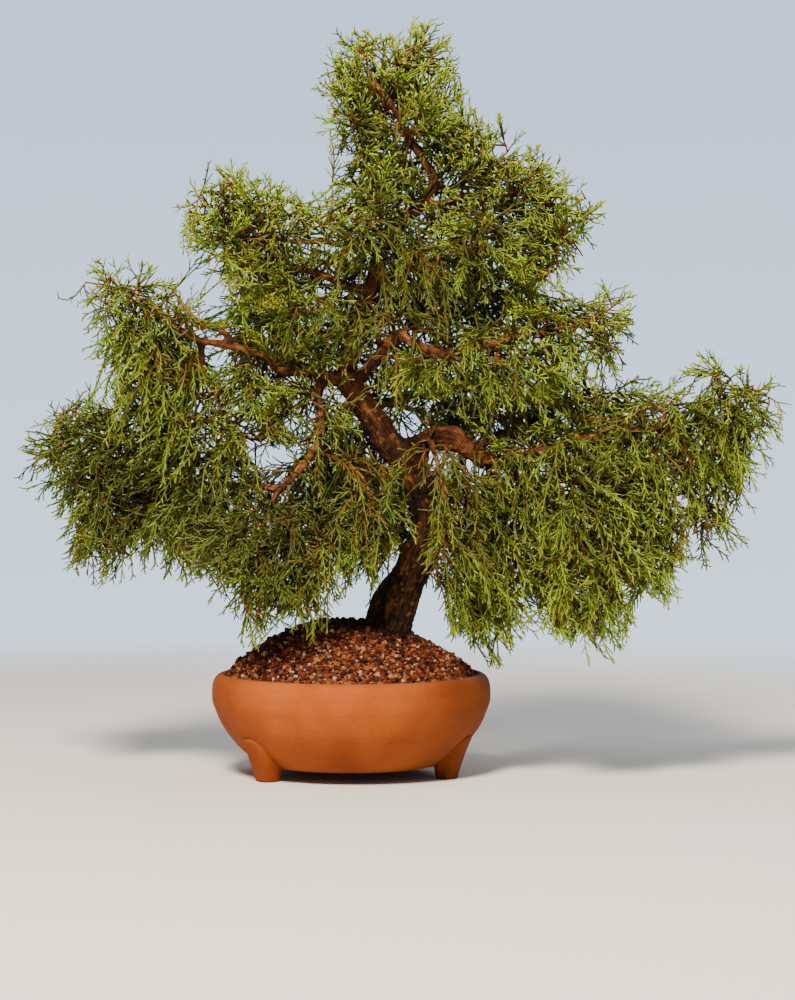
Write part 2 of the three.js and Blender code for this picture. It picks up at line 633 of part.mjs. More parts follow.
// Lays a stem to its tip by the shift in depth that crosses the fewest pieces already placed.
function layStem(owner, root, direction, tip, bare, footRadius, ignores) {
  let best = null;
  for (const shift of DEPTH_SHIFTS) {
    const curve = stemCurve(root, direction, tip, shift);
    const length = curve.getLength();
    const first = Math.min(bare, length * BARE_SHARE);
    const leafy = length - first - Math.min(END_BRANCHLET, length * END_SHARE);
    const count = Math.round(leafy / WHORL_SPACING) + 1;
    const distances = [0];
    for (let k = 0; k < count; k++) {
      const middle = first + (count > 1 ? (k / (count - 1)) * leafy : leafy / 2);
      distances.push(middle - BAND / 2, middle + BAND / 2);
    }
    distances.push(length);
    const frames = framesAlong(curve, distances);
    const taper = (distance) => THREE.MathUtils.lerp(STEM_RADIUS, STEM_TIP_RADIUS, distance / length);
    const radii = distances.map((distance, row) => (row === 0 ? footRadius : taper(distance)));
    const segments = [];
    for (let row = 0; row + 1 < frames.length; row++) {
      const [from, to] = [frames[row].point, frames[row + 1].point];
      segments.push({ from, to, fromRadius: radii[row], toRadius: radii[row + 1], at: distances[row + 1] });
    }
    const blocked = segments.filter((segment) => !clearsPot(segment.to)
      || !isFree(segment, (other) => ignores(segment, other))).length;
    const stem = { owner, curve, length, count, distances, frames, radii, segments, blocked };
    if (!best || blocked < best.blocked) best = stem;
    if (blocked === 0) break;
  }
  for (const segment of best.segments) {
    addSegment(owner, 'core', segment.from, segment.to, segment.fromRadius, segment.toRadius, segment.at);
  }
  return best;
}

// The tip of a branchlet of a given length that grows outward from a frame of its stem.
function branchletTip(frame, out, reach) {
  const tip = frame.point.clone().addScaledVector(frame.tangent, reach * Math.cos(BRANCHLET_ANGLE));
  tip.addScaledVector(out, reach * Math.sin(BRANCHLET_ANGLE));
  tip.z -= reach * BRANCHLET_DROOP;
  return tip;
}

// Gives each whorl's three branchlets their tips, shortened or left out where they would cross something.
function leafOut(stem, seed) {
  const [footRadius, outerRadius, endRadius] = BRANCHLET_RADII;
  const core = (other) => other.owner === stem.owner && other.kind === 'core';
  stem.whorls = [];
  for (let k = 0; k < stem.count; k++) {
    const row = 2 * k + 1;
    const frame = stem.frames[row];
    const station = stem.distances[row];
    const coreOrWhorl = (other) => core(other) || (other.owner === stem.owner && other.at === station);
    const crown = k === stem.count - 1 ? LAST_WHORL : 1;
    stem.whorls.push([0, 1, 2].map((side) => {
      const out = outward(frame, ((side + 0.5) / STEM_SIDES) * 2 * Math.PI + k * WHORL_TWIST);
      const draw = ((seed * 31 + k * 3 + side) * GOLDEN) % 1;
      const full = BRANCHLET * (BRANCHLET_LEAST + BRANCHLET_SPREAD * draw) * crown;
      for (const share of SHORTER) {
        const from = frame.point.clone().addScaledVector(out, stem.radii[row]);
        const to = branchletTip(frame, out, full * share);
        const whole = { from, to, fromRadius: footRadius, toRadius: endRadius };
        const outer = { from: from.clone().lerp(to, 0.4), to, fromRadius: outerRadius, toRadius: endRadius };
        if (clearsPot(to) && isFree(whole, coreOrWhorl) && isFree(outer, (other) => !core(other))) {
          addSegment(stem.owner, 'branchlet', from, to, footRadius, endRadius, station);
          return to;
        }
      }
      return null;
    }));
  }
}

// The core is a cone whose rows are moved to their stations. Each branchlet is a spike on one face of a band.
function stemSolid(stem) {
  const rows = stem.frames.length - 1;
  const seats = [];
  const cone = reshaped(new THREE.ConeGeometry(1, 1, STEM_SIDES, rows), rows, STEM_SIDES, (row, side) => {
    seats.push([row, side]);
    const frame = stem.frames[row];
    if (side === null) return frame.point;
    const angle = (side / STEM_SIDES) * 2 * Math.PI + Math.floor(Math.max(0, row - 1) / 2) * WHORL_TWIST;
    return frame.point.clone().addScaledVector(outward(frame, angle), stem.radii[row]);
  });
  const points = Array.from(cone.getAttribute('position').array);
  const corners = cone.getIndex().array;
  const faces = [];
  for (let i = 0; i < corners.length; i += 3) {
    const face = [corners[i], corners[i + 1], corners[i + 2]];
    const low = Math.min(...face.map((corner) => seats[corner][0]));
    const lower = face.filter((corner) => seats[corner][0] === low).map((corner) => seats[corner][1]);
    const side = (lower[0] + 1) % STEM_SIDES === lower[1] ? lower[0] : lower[1];
    const tip = low % 2 === 1 && lower.length === 2 ? stem.whorls?.[(low - 1) / 2]?.[side] : null;
    if (!tip) {
      faces.push(...face);
      continue;
    }
    const peak = points.length / 3;
    points.push(...tip.toArray());
    faces.push(face[0], face[1], peak, face[1], face[2], peak, face[2], face[0], peak);
  }
  const geometry = new THREE.BufferGeometry();
  geometry.setAttribute('position', new THREE.Float32BufferAttribute(points, 3));
  geometry.setIndex(faces);
  return solidOf(geometry);
}

// Stands a stem on the wood: its foot is moved out until the two no longer share any room.
function clearFoot(stem, direction) {
  while (stemSolid(stem).intersect(wood).volume() > 0) {
    stem.frames[0].point.addScaledVector(direction, ROOT_GAP / 2);
  }
}

// A fork starts inside its stem, midway between two whorls.
function forkFrom(main, name, tip, turn) {
  const row = 2 * Math.round(main.count * FORK_AT[turn]) + 2;
  const [before, after] = [main.frames[row], main.frames[row + 1]];
  const from = before.point.clone().lerp(after.point, 0.5);
  const direction = leaving(before.tangent, tip.clone().sub(from).normalize());
  const nearStem = (segment, other) => other.owner.startsWith(main.owner) && segment.at < NEAR_STEM;
  return layStem(name, from, direction, tip, FORK_BARE, FORK_FOOT, nearStem);
}

const sprays = [];
for (const [group, rows] of Object.entries(SPRAYS)) {
  rows.forEach(([limbName, at, tip, ...forkTips], index) => {
    const name = `spray_${group}_${index + 1}`;
    const { root, direction } = stemFoot(limbs[limbName], at, place(tip));
    const nearLimb = (segment, other) => other.kind === limbName && segment.at < NEAR_LIMB;
    const main = layStem(name, root, direction, place(tip), STEM_BARE, STEM_RADIUS, nearLimb);
    clearFoot(main, direction);
    const forks = forkTips.map((forkTip, turn) => (
      forkFrom(main, `${name}_fork_${turn + 1}`, place(forkTip), turn)));
    sprays.push({ name, stems: [main, ...forks] });
  });
}
sprays.forEach((spray, index) => spray.stems.forEach((stem, part) => leafOut(stem, index * 3 + part)));

const group = new THREE.Group();

function addMesh(name, solid, color, roughness) {
  const material = new THREE.MeshStandardMaterial({ color, roughness, metalness: 0 });
  const mesh = new THREE.Mesh(geometryOf(solid), material);
  mesh.name = name;
  group.add(mesh);
}

addMesh('pot', potSolid(), '#b9652f', 0.85);
addMesh('drainage_screen', screenSolid(), '#2b2f33', 0.6);
addMesh('soil', soilSolid(trunkHole), '#8a4a2a', 0.95);
addMesh('wood', wood, '#6b3c20', 0.9);
sprays.forEach((spray, index) => {
  const solid = wasm.Manifold.union(spray.stems.map(stemSolid));
  addMesh(spray.name, solid, FOLIAGE_GREENS[index % FOLIAGE_GREENS.length], 0.7);
});

// The origin is under the middle of the whole plant, at the ground.
const box = new THREE.Box3().setFromObject(group);
const middle = box.getCenter(new THREE.Vector3());
group.position.set(-middle.x, -middle.y, -box.min.z);

export default group;
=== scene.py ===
import math
from collections import namedtuple

import bmesh
import bpy
import numpy as np
from bpy.props import FloatProperty, FloatVectorProperty, IntProperty, PointerProperty
from mathutils import Color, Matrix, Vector, noise
from mathutils.bvhtree import BVHTree
from mathutils.kdtree import KDTree


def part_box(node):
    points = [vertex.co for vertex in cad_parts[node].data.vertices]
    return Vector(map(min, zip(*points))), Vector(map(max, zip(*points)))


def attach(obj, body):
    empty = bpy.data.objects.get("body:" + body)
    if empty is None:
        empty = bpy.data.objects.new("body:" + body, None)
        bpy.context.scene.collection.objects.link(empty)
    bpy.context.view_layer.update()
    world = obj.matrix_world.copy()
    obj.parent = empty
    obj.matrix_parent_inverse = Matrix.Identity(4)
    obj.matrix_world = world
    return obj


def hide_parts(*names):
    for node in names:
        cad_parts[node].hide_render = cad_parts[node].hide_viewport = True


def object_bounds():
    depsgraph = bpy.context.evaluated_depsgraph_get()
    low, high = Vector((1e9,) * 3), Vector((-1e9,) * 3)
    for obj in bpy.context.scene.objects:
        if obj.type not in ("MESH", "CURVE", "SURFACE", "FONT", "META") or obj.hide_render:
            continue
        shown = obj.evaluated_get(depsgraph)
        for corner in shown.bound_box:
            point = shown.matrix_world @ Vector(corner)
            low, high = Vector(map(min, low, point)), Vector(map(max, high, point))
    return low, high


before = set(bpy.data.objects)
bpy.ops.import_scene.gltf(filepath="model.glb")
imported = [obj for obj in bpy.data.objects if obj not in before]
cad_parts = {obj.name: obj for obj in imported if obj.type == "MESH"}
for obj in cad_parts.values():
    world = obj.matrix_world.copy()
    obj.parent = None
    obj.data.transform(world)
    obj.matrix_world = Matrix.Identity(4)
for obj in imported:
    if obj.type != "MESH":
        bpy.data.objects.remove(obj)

bl_info = {
    "name": "Drooping juniper bonsai",
    "version": (1, 0, 0),
    "blender": (4, 5, 0),
    "location": "3D View > Sidebar > Bonsai",
    "description": "A drooping juniper with hanging cord foliage in a terracotta pot on three feet",
    "category": "Add Mesh",
}

# Lengths are in millimetres from the pot's axis at the ground, but for the stage's and the users' settings,
# which are in metres. x is right, y is back and z is up.
MM = 0.001
CAD_BOX = [[float(value) for value in corner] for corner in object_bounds()]
POT_LOW, POT_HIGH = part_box("pot")
POT_AXIS = np.array([(POT_LOW.x + POT_HIGH.x) / 2, (POT_LOW.y + POT_HIGH.y) / 2, 0.0]) / MM
# The eye of a viewer in front, and the height at which that viewer looks.
VIEWER = np.array([46.0, -2500.0, 318.0])
LOOKS_AT = 274.0

# Profiles of the thrown pot: radius and height.
POT_OUTSIDE = [
    (60, 11), (88, 11.4), (96, 15), (103, 20), (114, 30), (123.5, 42), (130, 52), (135.5, 65), (138.4, 73),
    (139, 80), (138.8, 87), (137.8, 93), (135.2, 97.8), (131.5, 100.5), (128, 101)]
POT_INSIDE = [(126, 99.4), (127.4, 95), (129.5, 86), (127, 66), (119, 48), (103, 31), (84, 21), (40, 20.6)]
DRAIN_RADIUS = 12
BELLY = 139
RIM_TOP = 101
RIM_INSIDE = 126
FOOT_ANGLES = (-143, -21, 98)
# A foot's rows: height, distance from the pot's axis, half depth, half width.
FOOT_ROWS = [
    (0.0, 101.5, 8.6, 9), (0.8, 101.5, 10.2, 10.6), (4, 101.5, 10.7, 11.2), (9, 101.9, 11.8, 12.4),
    (15, 102.6, 13, 14.6), (21, 103.8, 13.8, 16.2), (26, 105.4, 13.8, 17), (31, 108.2, 13.3, 17.2),
    (35, 110.8, 12.4, 16.6), (38.6, 114.4, 10.6, 14.6), (41.4, 117.4, 8.6, 11.4), (43, 119.8, 6, 6.4)]
# A section of a foot is squarer than an ellipse: the power to which its sine and cosine are raised.
FOOT_SQUARENESS = 0.72

# The mound of grit: its height at the pot's wall, its rise, and how much it leans to the right and back.
MOUND_SKIRT = 99
MOUND_RISE = 52
MOUND_LEAN = (-0.15, 0.2)
# The loose grains: how far out their middles and their edges lie, and between which heights.
GRIT_REACH = 124.0
GRIT_EDGE = 125.2
GRIT_HEIGHTS = (96, 160)
# The height from which they drop on the mound.
GRIT_DROP = 220
# Near the wall the grains lie a little deeper: from where, over what width, and how much.
GRIT_SINKS = (112, 13, 0.8)
# Painted shade darkens the grit round the trunk's foot: where that is, and how far it reaches.
SHADED_SPOT = (22, -2)
SHADED_REACH = 46
# The turn from one grain to the next, in radians, which spreads them evenly.
GOLDEN_ANGLE = 2.39996

# The stage, in metres: the floor, the distance at which it begins to fade, and the wall.
FLOOR_RADIUS = 2.0
FLOOR_FADES = 1.0
WALL_RADIUS = 12.0
LIGHTS_AIM = 0.35
# The even light from all round: colour and strength.
SKY = {"Color": "#dfe5ee", "Strength": 0.24}
# Lights: place from the pot's axis and size in metres, watts and colour.
LIGHTS = {
    "key": ((-0.42, -1.98, 2.25), 0.7, 188, "#fff0dc"),
    "fill": ((1.9, -1.6, 0.9), 1.4, 1, "#fff0dc"),
    "top": ((0.1, 0.3, 2.2), 1.6, 10, "#ffffff"),
    "rim": ((0.9, 2.1, 1.3), 1.2, 18, "#f4f6ff"),
}

# The limbs, from root to end: x, z, y and radius. x and z are as the viewer in front sees them.
LIMBS = {
    "trunk": [
        (34, 88, 10, 16), (35, 108, 10, 19), (36, 131, 10, 26), (39, 154, 9, 23), (46, 174, 7, 21.5),
        (54, 189, 5, 18.5), (68, 219, 2, 17.5), (78, 244, 0, 17), (75, 269, 0, 15.5), (67, 289, 0, 15),
        (56, 309, 0, 15), (35, 334, 0, 13.5), (19, 359, 0, 12.5), (3, 381, 0, 11.5), (-5, 404, 0, 10.5),
        (0, 434, 0, 9.5), (11, 464, 0, 8.5), (22, 494, 0, 7.5), (28, 519, 0, 7), (46, 546, 0, 6.3),
        (70, 569, 0, 5.8), (82, 592, 0, 5), (71, 614, 0, 4.4), (56, 639, 0, 3.8), (40, 668, 0, 3.2),
        (24, 689, 0, 2.6), (16, 706, 0, 2)],
    "right_low": [
        (60, 319, 0, 12), (73, 333, -8, 11), (88, 336, -15, 11), (103, 334, -20, 10), (120, 322, -25, 9),
        (138, 313, -30, 8.5), (158, 312, -35, 7.5), (188, 322, -40, 6), (228, 334, -45, 5),
        (268, 342, -50, 4.2), (313, 349, -55, 3.5), (348, 366, -60, 2.8), (383, 379, -60, 2.1)],
    "right_mid": [
        (123, 324, -24, 5.4), (139, 336, -8, 5), (160, 341, 8, 4.6), (187, 353, 22, 4.2),
        (206, 368, 34, 3.6), (228, 372, 42, 3), (258, 379, 48, 2.2)],
    "right_upper": [
        (2, 392, 0, 7), (16, 406, -12, 6.4), (27, 419, -18, 6), (40, 434, -24, 6), (48, 438, -27, 5.8),
        (60, 431, -30, 5.5), (78, 425, -32, 5.2), (96, 420, -34, 5), (118, 424, -35, 4.4),
        (148, 432, -34, 3.8), (188, 442, -30, 3.2), (228, 449, -25, 2.6), (253, 462, -20, 2.1)],
    "left_upper": [
        (-3, 398, 0, 7), (-22, 396, -2, 5.8), (-43, 403, -4, 5.4), (-69, 403, -6, 5.2), (-87, 418, -8, 5),
        (-107, 423, -8, 4.6), (-119, 428, -8, 4.4), (-137, 431, -8, 3.9), (-154, 434, -8, 3.5),
        (-177, 449, -4, 3), (-197, 466, 4, 2.6), (-217, 479, 10, 2.1)],
    "left_fork": [
        (-119, 429, -8, 3.8), (-126, 440, -8, 3.4), (-137, 447, -7, 3.1), (-147, 448, -6, 2.9),
        (-155, 454, -4, 2.8), (-163, 462, -2, 2.5), (-174, 478, 0, 2)],
    "left_drop": [(-150, 432, -8, 3.2), (-148, 409, -10, 2.8), (-143, 391, -13, 2.5), (-133, 374, -16, 2)],
    "left_low": [
        (-26, 397, -2, 5), (-32, 386, -8, 4.8), (-33, 374, -12, 4.6), (-30, 354, -18, 4.4),
        (-32, 336, -22, 4.3), (-39, 321, -25, 4.2), (-49, 308, -28, 4.2), (-60, 296, -30, 4),
        (-71, 286, -30, 3.8), (-90, 287, -29, 3.5), (-112, 288, -26, 3.3), (-140, 290, -20, 3),
        (-172, 294, -12, 2.8), (-212, 306, 0, 2.5), (-247, 319, 8, 2.2), (-272, 329, 10, 2)],
    "left_front": [(-70, 286, -30, 3.2), (-76, 278, -40, 3), (-80, 268, -54, 2.6), (-88, 250, -76, 2)],
    "middle_twig": [
        (-39, 321, -25, 2.8), (-19, 316, -32, 2.4), (-4, 306, -38, 2.1), (10, 298, -42, 2),
        (18, 282, -46, 1.8)],
    "upper_left": [
        (18, 484, 0, 5), (-2, 487, -5, 4.5), (-16, 493, -8, 4), (-35, 501, -10, 3.6), (-55, 506, -12, 3.3),
        (-68, 515, -13, 3), (-84, 527, -14, 2.7), (-97, 541, -15, 2.4), (-114, 555, -15, 2.1),
        (-137, 567, -15, 1.8)],
    "upper_left_fork": [
        (30, 521, 0, 4), (-11, 529, -10, 3.3), (-27, 532, -16, 3), (-49, 532, -22, 2.7),
        (-67, 534, -27, 2.4), (-84, 544, -34, 2)],
    "upper_right": [
        (71, 567, 0, 4.6), (88, 569, 1, 4.4), (103, 573, 2, 4), (122, 579, 3, 3.6), (148, 579, 5, 3.2),
        (178, 579, 7, 2.7), (208, 577, 9, 2.3), (228, 574, 10, 2)],
    "middle_right": [
        (20, 488, 0, 4.8), (43, 485, 14, 4.2), (78, 486, 28, 3.8), (118, 479, 36, 3.3), (158, 474, 40, 2.8),
        (198, 469, 42, 2.2)],
    "back_left": [(0, 430, 0, 4.8), (-22, 439, 40, 4.2), (-52, 444, 90, 3.2), (-87, 454, 130, 2.2)],
    "back_right": [(15, 363, 0, 5.4), (43, 374, 50, 4.8), (78, 379, 100, 3.6), (118, 389, 150, 2.2)],
    "front_low": [(80, 336, -12, 4), (80, 330, -32, 3.2), (88, 304, -55, 2.6), (93, 274, -66, 2)],
    "back_low": [(78, 242, 0, 4.8), (78, 254, 50, 4), (73, 269, 100, 3), (63, 279, 148, 2)],
    "back_low_left": [(35, 336, 0, 4.8), (32, 335, 45, 4), (13, 344, 90, 3), (-12, 349, 130, 2)],
    "right_hang": [(186, 321, -40, 3.8), (198, 314, -46, 3.2), (210, 303, -56, 2.6), (233, 284, -70, 2)],
    "right_drop": [(158, 312, -35, 3.8), (166, 298, -38, 3), (168, 282, -41, 2.4), (163, 256, -44, 1.8)],
}
# Small wood that only shows close up: the old surface root, snags and bare twigs.
SMALL_WOOD = {
    "root_left": [(36, 142, 8, 15), (18, 142, 4, 11), (0, 140, 2, 8), (-16, 135, 2, 6), (-34, 128, 4, 3)],
    "root_right": [(44, 138, 8, 12), (60, 131, 2, 8), (68, 124, -2, 4)],
    "snag_right": [(70, 336, -18, 2.4), (74, 318, -30, 1.8), (78, 300, -32, 1.4), (80, 292, -32, 0.8)],
    "bare_left": [(-42, 402, -6, 1.6), (-44, 360, -16, 1.2), (-43, 320, -20, 1.1), (-37, 284, -22, 0.8)],
    "bare_right": [
        (236, 334, -48, 1.6), (238, 290, -58, 1.3), (242, 200, -66, 1.1), (243, 124, -70, 0.7)],
    "bare_upper": [(-84, 540, -30, 1.5), (-100, 548, -34, 1.2), (-113, 556, -36, 0.8)],
}
SURFACE_ROOTS = ("root_left", "root_right")
# Limbs with knobs from old wounds: how many along it, and how far they swell.
KNOBS = {"right_low": (9, 0.16), "right_upper": (13, 0.2), "left_upper": (8, 0.1), "trunk": (11, 0.05)}
PLAIN_KNOBS = (5, 0.05)
GNARLED = ("right_low", "right_upper", "trunk")
TWISTED = "right_upper"
# Limbs are modelled in steps of this length, and the foliage follows them in steps of the other.
LIMB_STEP = 2.6
GROWTH_STEP = 5
# Bark fibres for each millimetre across the limb and along it.
FIBRES_ACROSS = 0.8
FIBRES_ALONG = 0.13
# The bark's age by height on the trunk, from 0 at the foot to 1 on a twig.
AGE_HEIGHTS = [150, 230, 300, 400, 480, 700]
AGES = [0.02, 0.16, 0.3, 0.4, 0.55, 0.95]

# The leafy stems of the CAD model: limb, share along it, tip, tips of the stems that fork from it.
SPRAYS = {
    "apex": [
        ("trunk", 1, (20, 750, 0), (-10, 742, -6)),
        ("trunk", 0.95, (73, 746, 0), (50, 735, 12)),
        ("trunk", 0.93, (-20, 712, -12), (-36, 690, -5)),
        ("trunk", 0.91, (103, 706, 0), (110, 674, 16)),
        ("trunk", 0.885, (-22, 646, -8), (-30, 668, -28)),
        ("trunk", 0.86, (134, 658, 5), (98, 648, -28)),
        ("trunk", 0.9, (48, 684, 72), (12, 660, 62)),
        ("trunk", 0.87, (38, 650, -68), (72, 676, -54)),
        ("trunk", 0.8, (170, 634, 15), (146, 612, -24), (196, 622, 10)),
    ],
    "upper_right": [
        ("upper_right", 1, (250, 574, 5), (224, 602, 14)),
        ("upper_right", 0.76, (240, 500, -20), (256, 542, -14), (204, 488, -38)),
        ("upper_right", 0.34, (152, 502, -34), (126, 520, -52)),
        ("upper_right", 0.5, (188, 540, 78), (146, 572, 70)),
    ],
    "upper_left": [
        ("upper_left", 1, (-178, 556, -10), (-160, 592, -4)),
        ("upper_left_fork", 1, (-92, 596, -26), (-62, 588, -38), (-120, 604, -12)),
        ("upper_left", 0.78, (-157, 518, -10), (-140, 496, -28)),
        ("upper_left", 0.55, (-124, 462, -18), (-98, 476, -40)),
        ("upper_left", 0.3, (-66, 444, -34), (-40, 458, -48)),
        ("upper_left_fork", 0.45, (-36, 584, -16), (-18, 606, 14)),
        ("upper_left", 0.62, (-92, 518, 74), (-118, 548, 60)),
    ],
    "middle_left": [
        ("left_upper", 1, (-284, 489, 8), (-256, 506, 14), (-230, 516, -4)),
        ("left_fork", 1, (-182, 504, 0), (-160, 492, 16)),
        ("left_upper", 0.88, (-264, 430, -6), (-272, 458, -14)),
        ("left_upper", 0.78, (-248, 388, -16), (-212, 378, -34)),
        ("left_drop", 1, (-130, 329, -22), (-160, 336, -34), (-100, 342, -30)),
        ("left_upper", 0.72, (-168, 420, 76), (-202, 446, 64)),
    ],
    "lower_left": [
        ("left_low", 1, (-334, 304, 8), (-314, 350, 12), (-280, 380, 5)),
        ("left_low", 0.9, (-290, 230, -10), (-264, 200, -16)),
        ("left_low", 0.76, (-206, 198, -24), (-228, 214, -8), (-176, 206, -46)),
        ("left_low", 0.84, (-236, 378, 2), (-204, 364, -14)),
        ("left_low", 0.82, (-212, 262, 86), (-172, 236, 76)),
        ("left_front", 1, (-118, 152, -92), (-98, 136, -104), (-146, 200, -72)),
        ("left_front", 0.66, (-66, 144, -98), (-42, 142, -86)),
    ],
    "centre": [
        ("middle_twig", 1, (-4, 182, -62), (18, 204, -56), (-34, 208, -66)),
        ("front_low", 1, (82, 178, -72), (104, 196, -84)),
        ("back_low_left", 1, (-40, 236, 126), (-8, 250, 140)),
        ("back_low", 1, (44, 180, 168), (84, 196, 160)),
        ("trunk", 0.69, (16, 552, -52), (-12, 524, -58)),
        ("trunk", 0.63, (74, 520, -40), (92, 500, -56)),
    ],
    "middle_right": [
        ("right_upper", 1, (280, 484, -16), (252, 490, -4)),
        ("right_upper", 0.92, (278, 428, -26), (260, 404, -30)),
        ("right_upper", 0.62, (140, 374, -48), (170, 380, -56)),
        ("right_upper", 0.72, (180, 486, -44), (206, 478, -20)),
        ("middle_right", 0.5, (116, 424, 48), (88, 440, 62)),
        ("middle_right", 1, (204, 482, 58), (228, 444, 62)),
    ],
    "right": [
        ("right_low", 1, (434, 374, -60), (416, 396, -54)),
        ("right_low", 0.95, (356, 424, -55), (388, 408, -72)),
        ("right_low", 0.88, (396, 248, -72), (416, 300, -78), (360, 208, -64)),
        ("right_low", 0.78, (316, 386, -56), (292, 392, -40)),
        ("right_low", 0.72, (324, 174, -72), (296, 162, -60)),
        ("right_hang", 1, (244, 110, -82), (272, 150, -88)),
        ("right_drop", 1, (148, 114, -50), (124, 110, -42)),
        ("right_mid", 1, (284, 398, 52), (300, 330, 60)),
    ],
    "back": [
        ("back_left", 1, (-112, 474, 176), (-84, 410, 190)),
        ("back_right", 1, (150, 360, 196), (110, 320, 180)),
    ],
}
# The pads of foliage. A pad's number is its place in this list.
GROUPS = list(SPRAYS)
# The habit of each pad of foliage: how much it hangs (0 rises, 1 weeps), how light its green is (partly
# its own tone, partly painted light and shade: high and front pads lighter, low, inner and back ones
# darker), the length of its strands, the way they sweep (degrees to the right of straight down), how much
# of its inside is gaps, and the share of its strands that are turning brown.
Habit = namedtuple("Habit", "hang bright reach sweep gaps dry")
HABITS = {
    "apex": Habit(0.12, 0.86, 42, 0, 0.02, 0.1),
    "upper_right": Habit(0.45, 0.95, 50, 15, 0.25, 0.1),
    "upper_left": Habit(0.4, 0.95, 50, -15, 0.22, 0.1),
    "middle_left": Habit(0.8, 0.85, 62, -5, 0.48, 0.1),
    "lower_left": Habit(0.75, 0.15, 62, -22, 0.15, 0.03),
    "centre": Habit(1.0, 0.45, 66, 5, 0.38, 0.35),
    "middle_right": Habit(0.6, 0.95, 54, 20, 0.3, 0.15),
    "right": Habit(0.85, 0.8, 66, 22, 0.12, 0.1),
    "back": Habit(0.7, 0.35, 50, 0, 0.2, 0.05),
}

# Radii of a leafy stem, of the stems that fork from it and of the twigs that fill the crown.
STEM_RADIUS = 1.5
FORK_RADIUS = 1.3
TWIG_RADIUS = 1.15
# Shares along a stem at which others fork from it.
FORKS_AT = (0.22, 0.45)
# A stem's twig ends this far before the stem's tip, and its strands go on from there.
STRAND_REACH = 20
# Shifts in depth that are tried to bring a stem's tip to its CAD solid.
DEPTH_SHIFTS = (0, 8, -8, 16, -16, 24, -24, 32, -32)

# The part of the front view in which twigs are wanted, as lowest and highest x, and z.
CROWN_WIDTH = (-345, 450)
CROWN_HEIGHT = (95, 760)
# Twigs that lie further back than this are hidden from in front, and get others round them.
BEHIND = 45
# Twigs lie between these depths.
TWIG_DEPTHS = (-128, 200)
# Twigs end this far inside the pruning line, and those behind end this far inside it.
TWIG_MARGIN = 16
BEHIND_MARGIN = 12
# Twigs fill the crown in three layers; the front one and the back one lie this far from the middle one.
LAYER_DEPTHS = (12, 26)
# The layers follow the depth of limbs and stems of a smaller radius than this.
THIN_LIMB = 6
# A spot is reached by a twig if it is further than this from all wood, and the twig is no longer than that.
TWIG_GAP = 7
TWIG_LONGEST = 95
# Twigs may be joined to points this far apart, and there is room for so many of them.
JOINT_PITCH = 8
JOINTS = 90000

# The turn from one shoot to the next round their twig, in radians.
SHOOT_TURN = 2.4
# Bare stretches at the start and the end of a twig or strand, and the pitch of its shoots. The pitch of the
# strands is a setting.
STRAND_STRETCH = (5, 2)
CORD_STATIONS = (7, 6, 7.4)
OLD_CORD_STATIONS = (3, 2, 4.6)
# How far before a strand's tip its last two cords fork from it, and the lengths of these and of old cords.
FAN_BACK = [4.6, 1.8]
FAN_LENGTHS = (4.5, 8.5)
OLD_CORD_LENGTHS = (15, 29)
# Angles, in radians, at which strands leave a twig's end and its sides, and cords leave what bears them.
END_LEANS = (0.05, 0.5)
SIDE_LEANS = (0.55, 1.0)
CORD_LEANS = (0.4, 0.75)
FAN_LEANS = (0.35, 0.75)
OLD_CORD_LEANS = (0.9, 1.4)
# Shares of their pad's length that strands have, and shares of that to which one may be pruned.
STRAND_SHARES = (0.45, 1.2)
PRUNED_SHARES = (1.0, 0.75, 0.5)
# Strands gather in tresses: their size across and along them and in depth.
TRESS_SIZE = (17, 46, 60)
# Share of a strand's length at which its blunt end begins.
BLUNT = 0.95

# How far foliage may reach in front of the CAD model and behind it.
DEPTH_ROOM = 8
# Foliage further back than this doesn't hide wood that shows.
SHOWN_DEPTH = 12
# The random draws of the foliage and of the grit.
FOLIAGE_SEED = 11
GRIT_SEED = 5

# The line to which the crown is pruned, seen from in front, as x and z.
CROWN = [
    (-22, 745), (-6, 743), (28, 742), (48, 740), (70, 754), (88, 750), (106, 727), (104, 703), (110, 686),
    (118, 670), (136, 663), (166, 658), (172, 631), (198, 623), (210, 611), (224, 596), (248, 578),
    (258, 562), (238, 519), (226, 491), (206, 478), (254, 492), (284, 490), (286, 435), (280, 424),
    (276, 412), (258, 398), (232, 403), (274, 394), (296, 392), (320, 391), (348, 421), (362, 427),
    (398, 405), (412, 399), (422, 394), (436, 382), (436, 371), (422, 319), (406, 291), (406, 249),
    (390, 227), (388, 217), (356, 201), (330, 176), (318, 162), (306, 150), (278, 150), (268, 115),
    (238, 102), (224, 119), (202, 125), (182, 145), (190, 162), (172, 146), (156, 118), (150, 106),
    (134, 101), (120, 99), (92, 125), (86, 162), (74, 184), (48, 194), (20, 160), (6, 164), (-6, 177),
    (-12, 166), (-20, 142), (-46, 132), (-76, 138), (-98, 125), (-120, 142), (-130, 153), (-146, 184),
    (-150, 192), (-182, 193), (-208, 207), (-222, 192), (-250, 187), (-276, 197), (-290, 202), (-296, 213),
    (-294, 245), (-306, 275), (-332, 285), (-336, 299), (-334, 312), (-328, 328), (-310, 360), (-304, 375),
    (-284, 385), (-260, 385), (-236, 380), (-252, 403), (-266, 416), (-262, 430), (-266, 451), (-290, 481),
    (-280, 499), (-258, 509), (-238, 521), (-208, 513), (-186, 506), (-168, 493), (-154, 479), (-132, 452),
    (-130, 485), (-152, 511), (-172, 533), (-180, 551), (-172, 576), (-160, 605), (-118, 610), (-96, 600),
    (-62, 592), (-34, 581), (-16, 582), (-22, 611), (-24, 631), (-38, 654), (-32, 701),
]
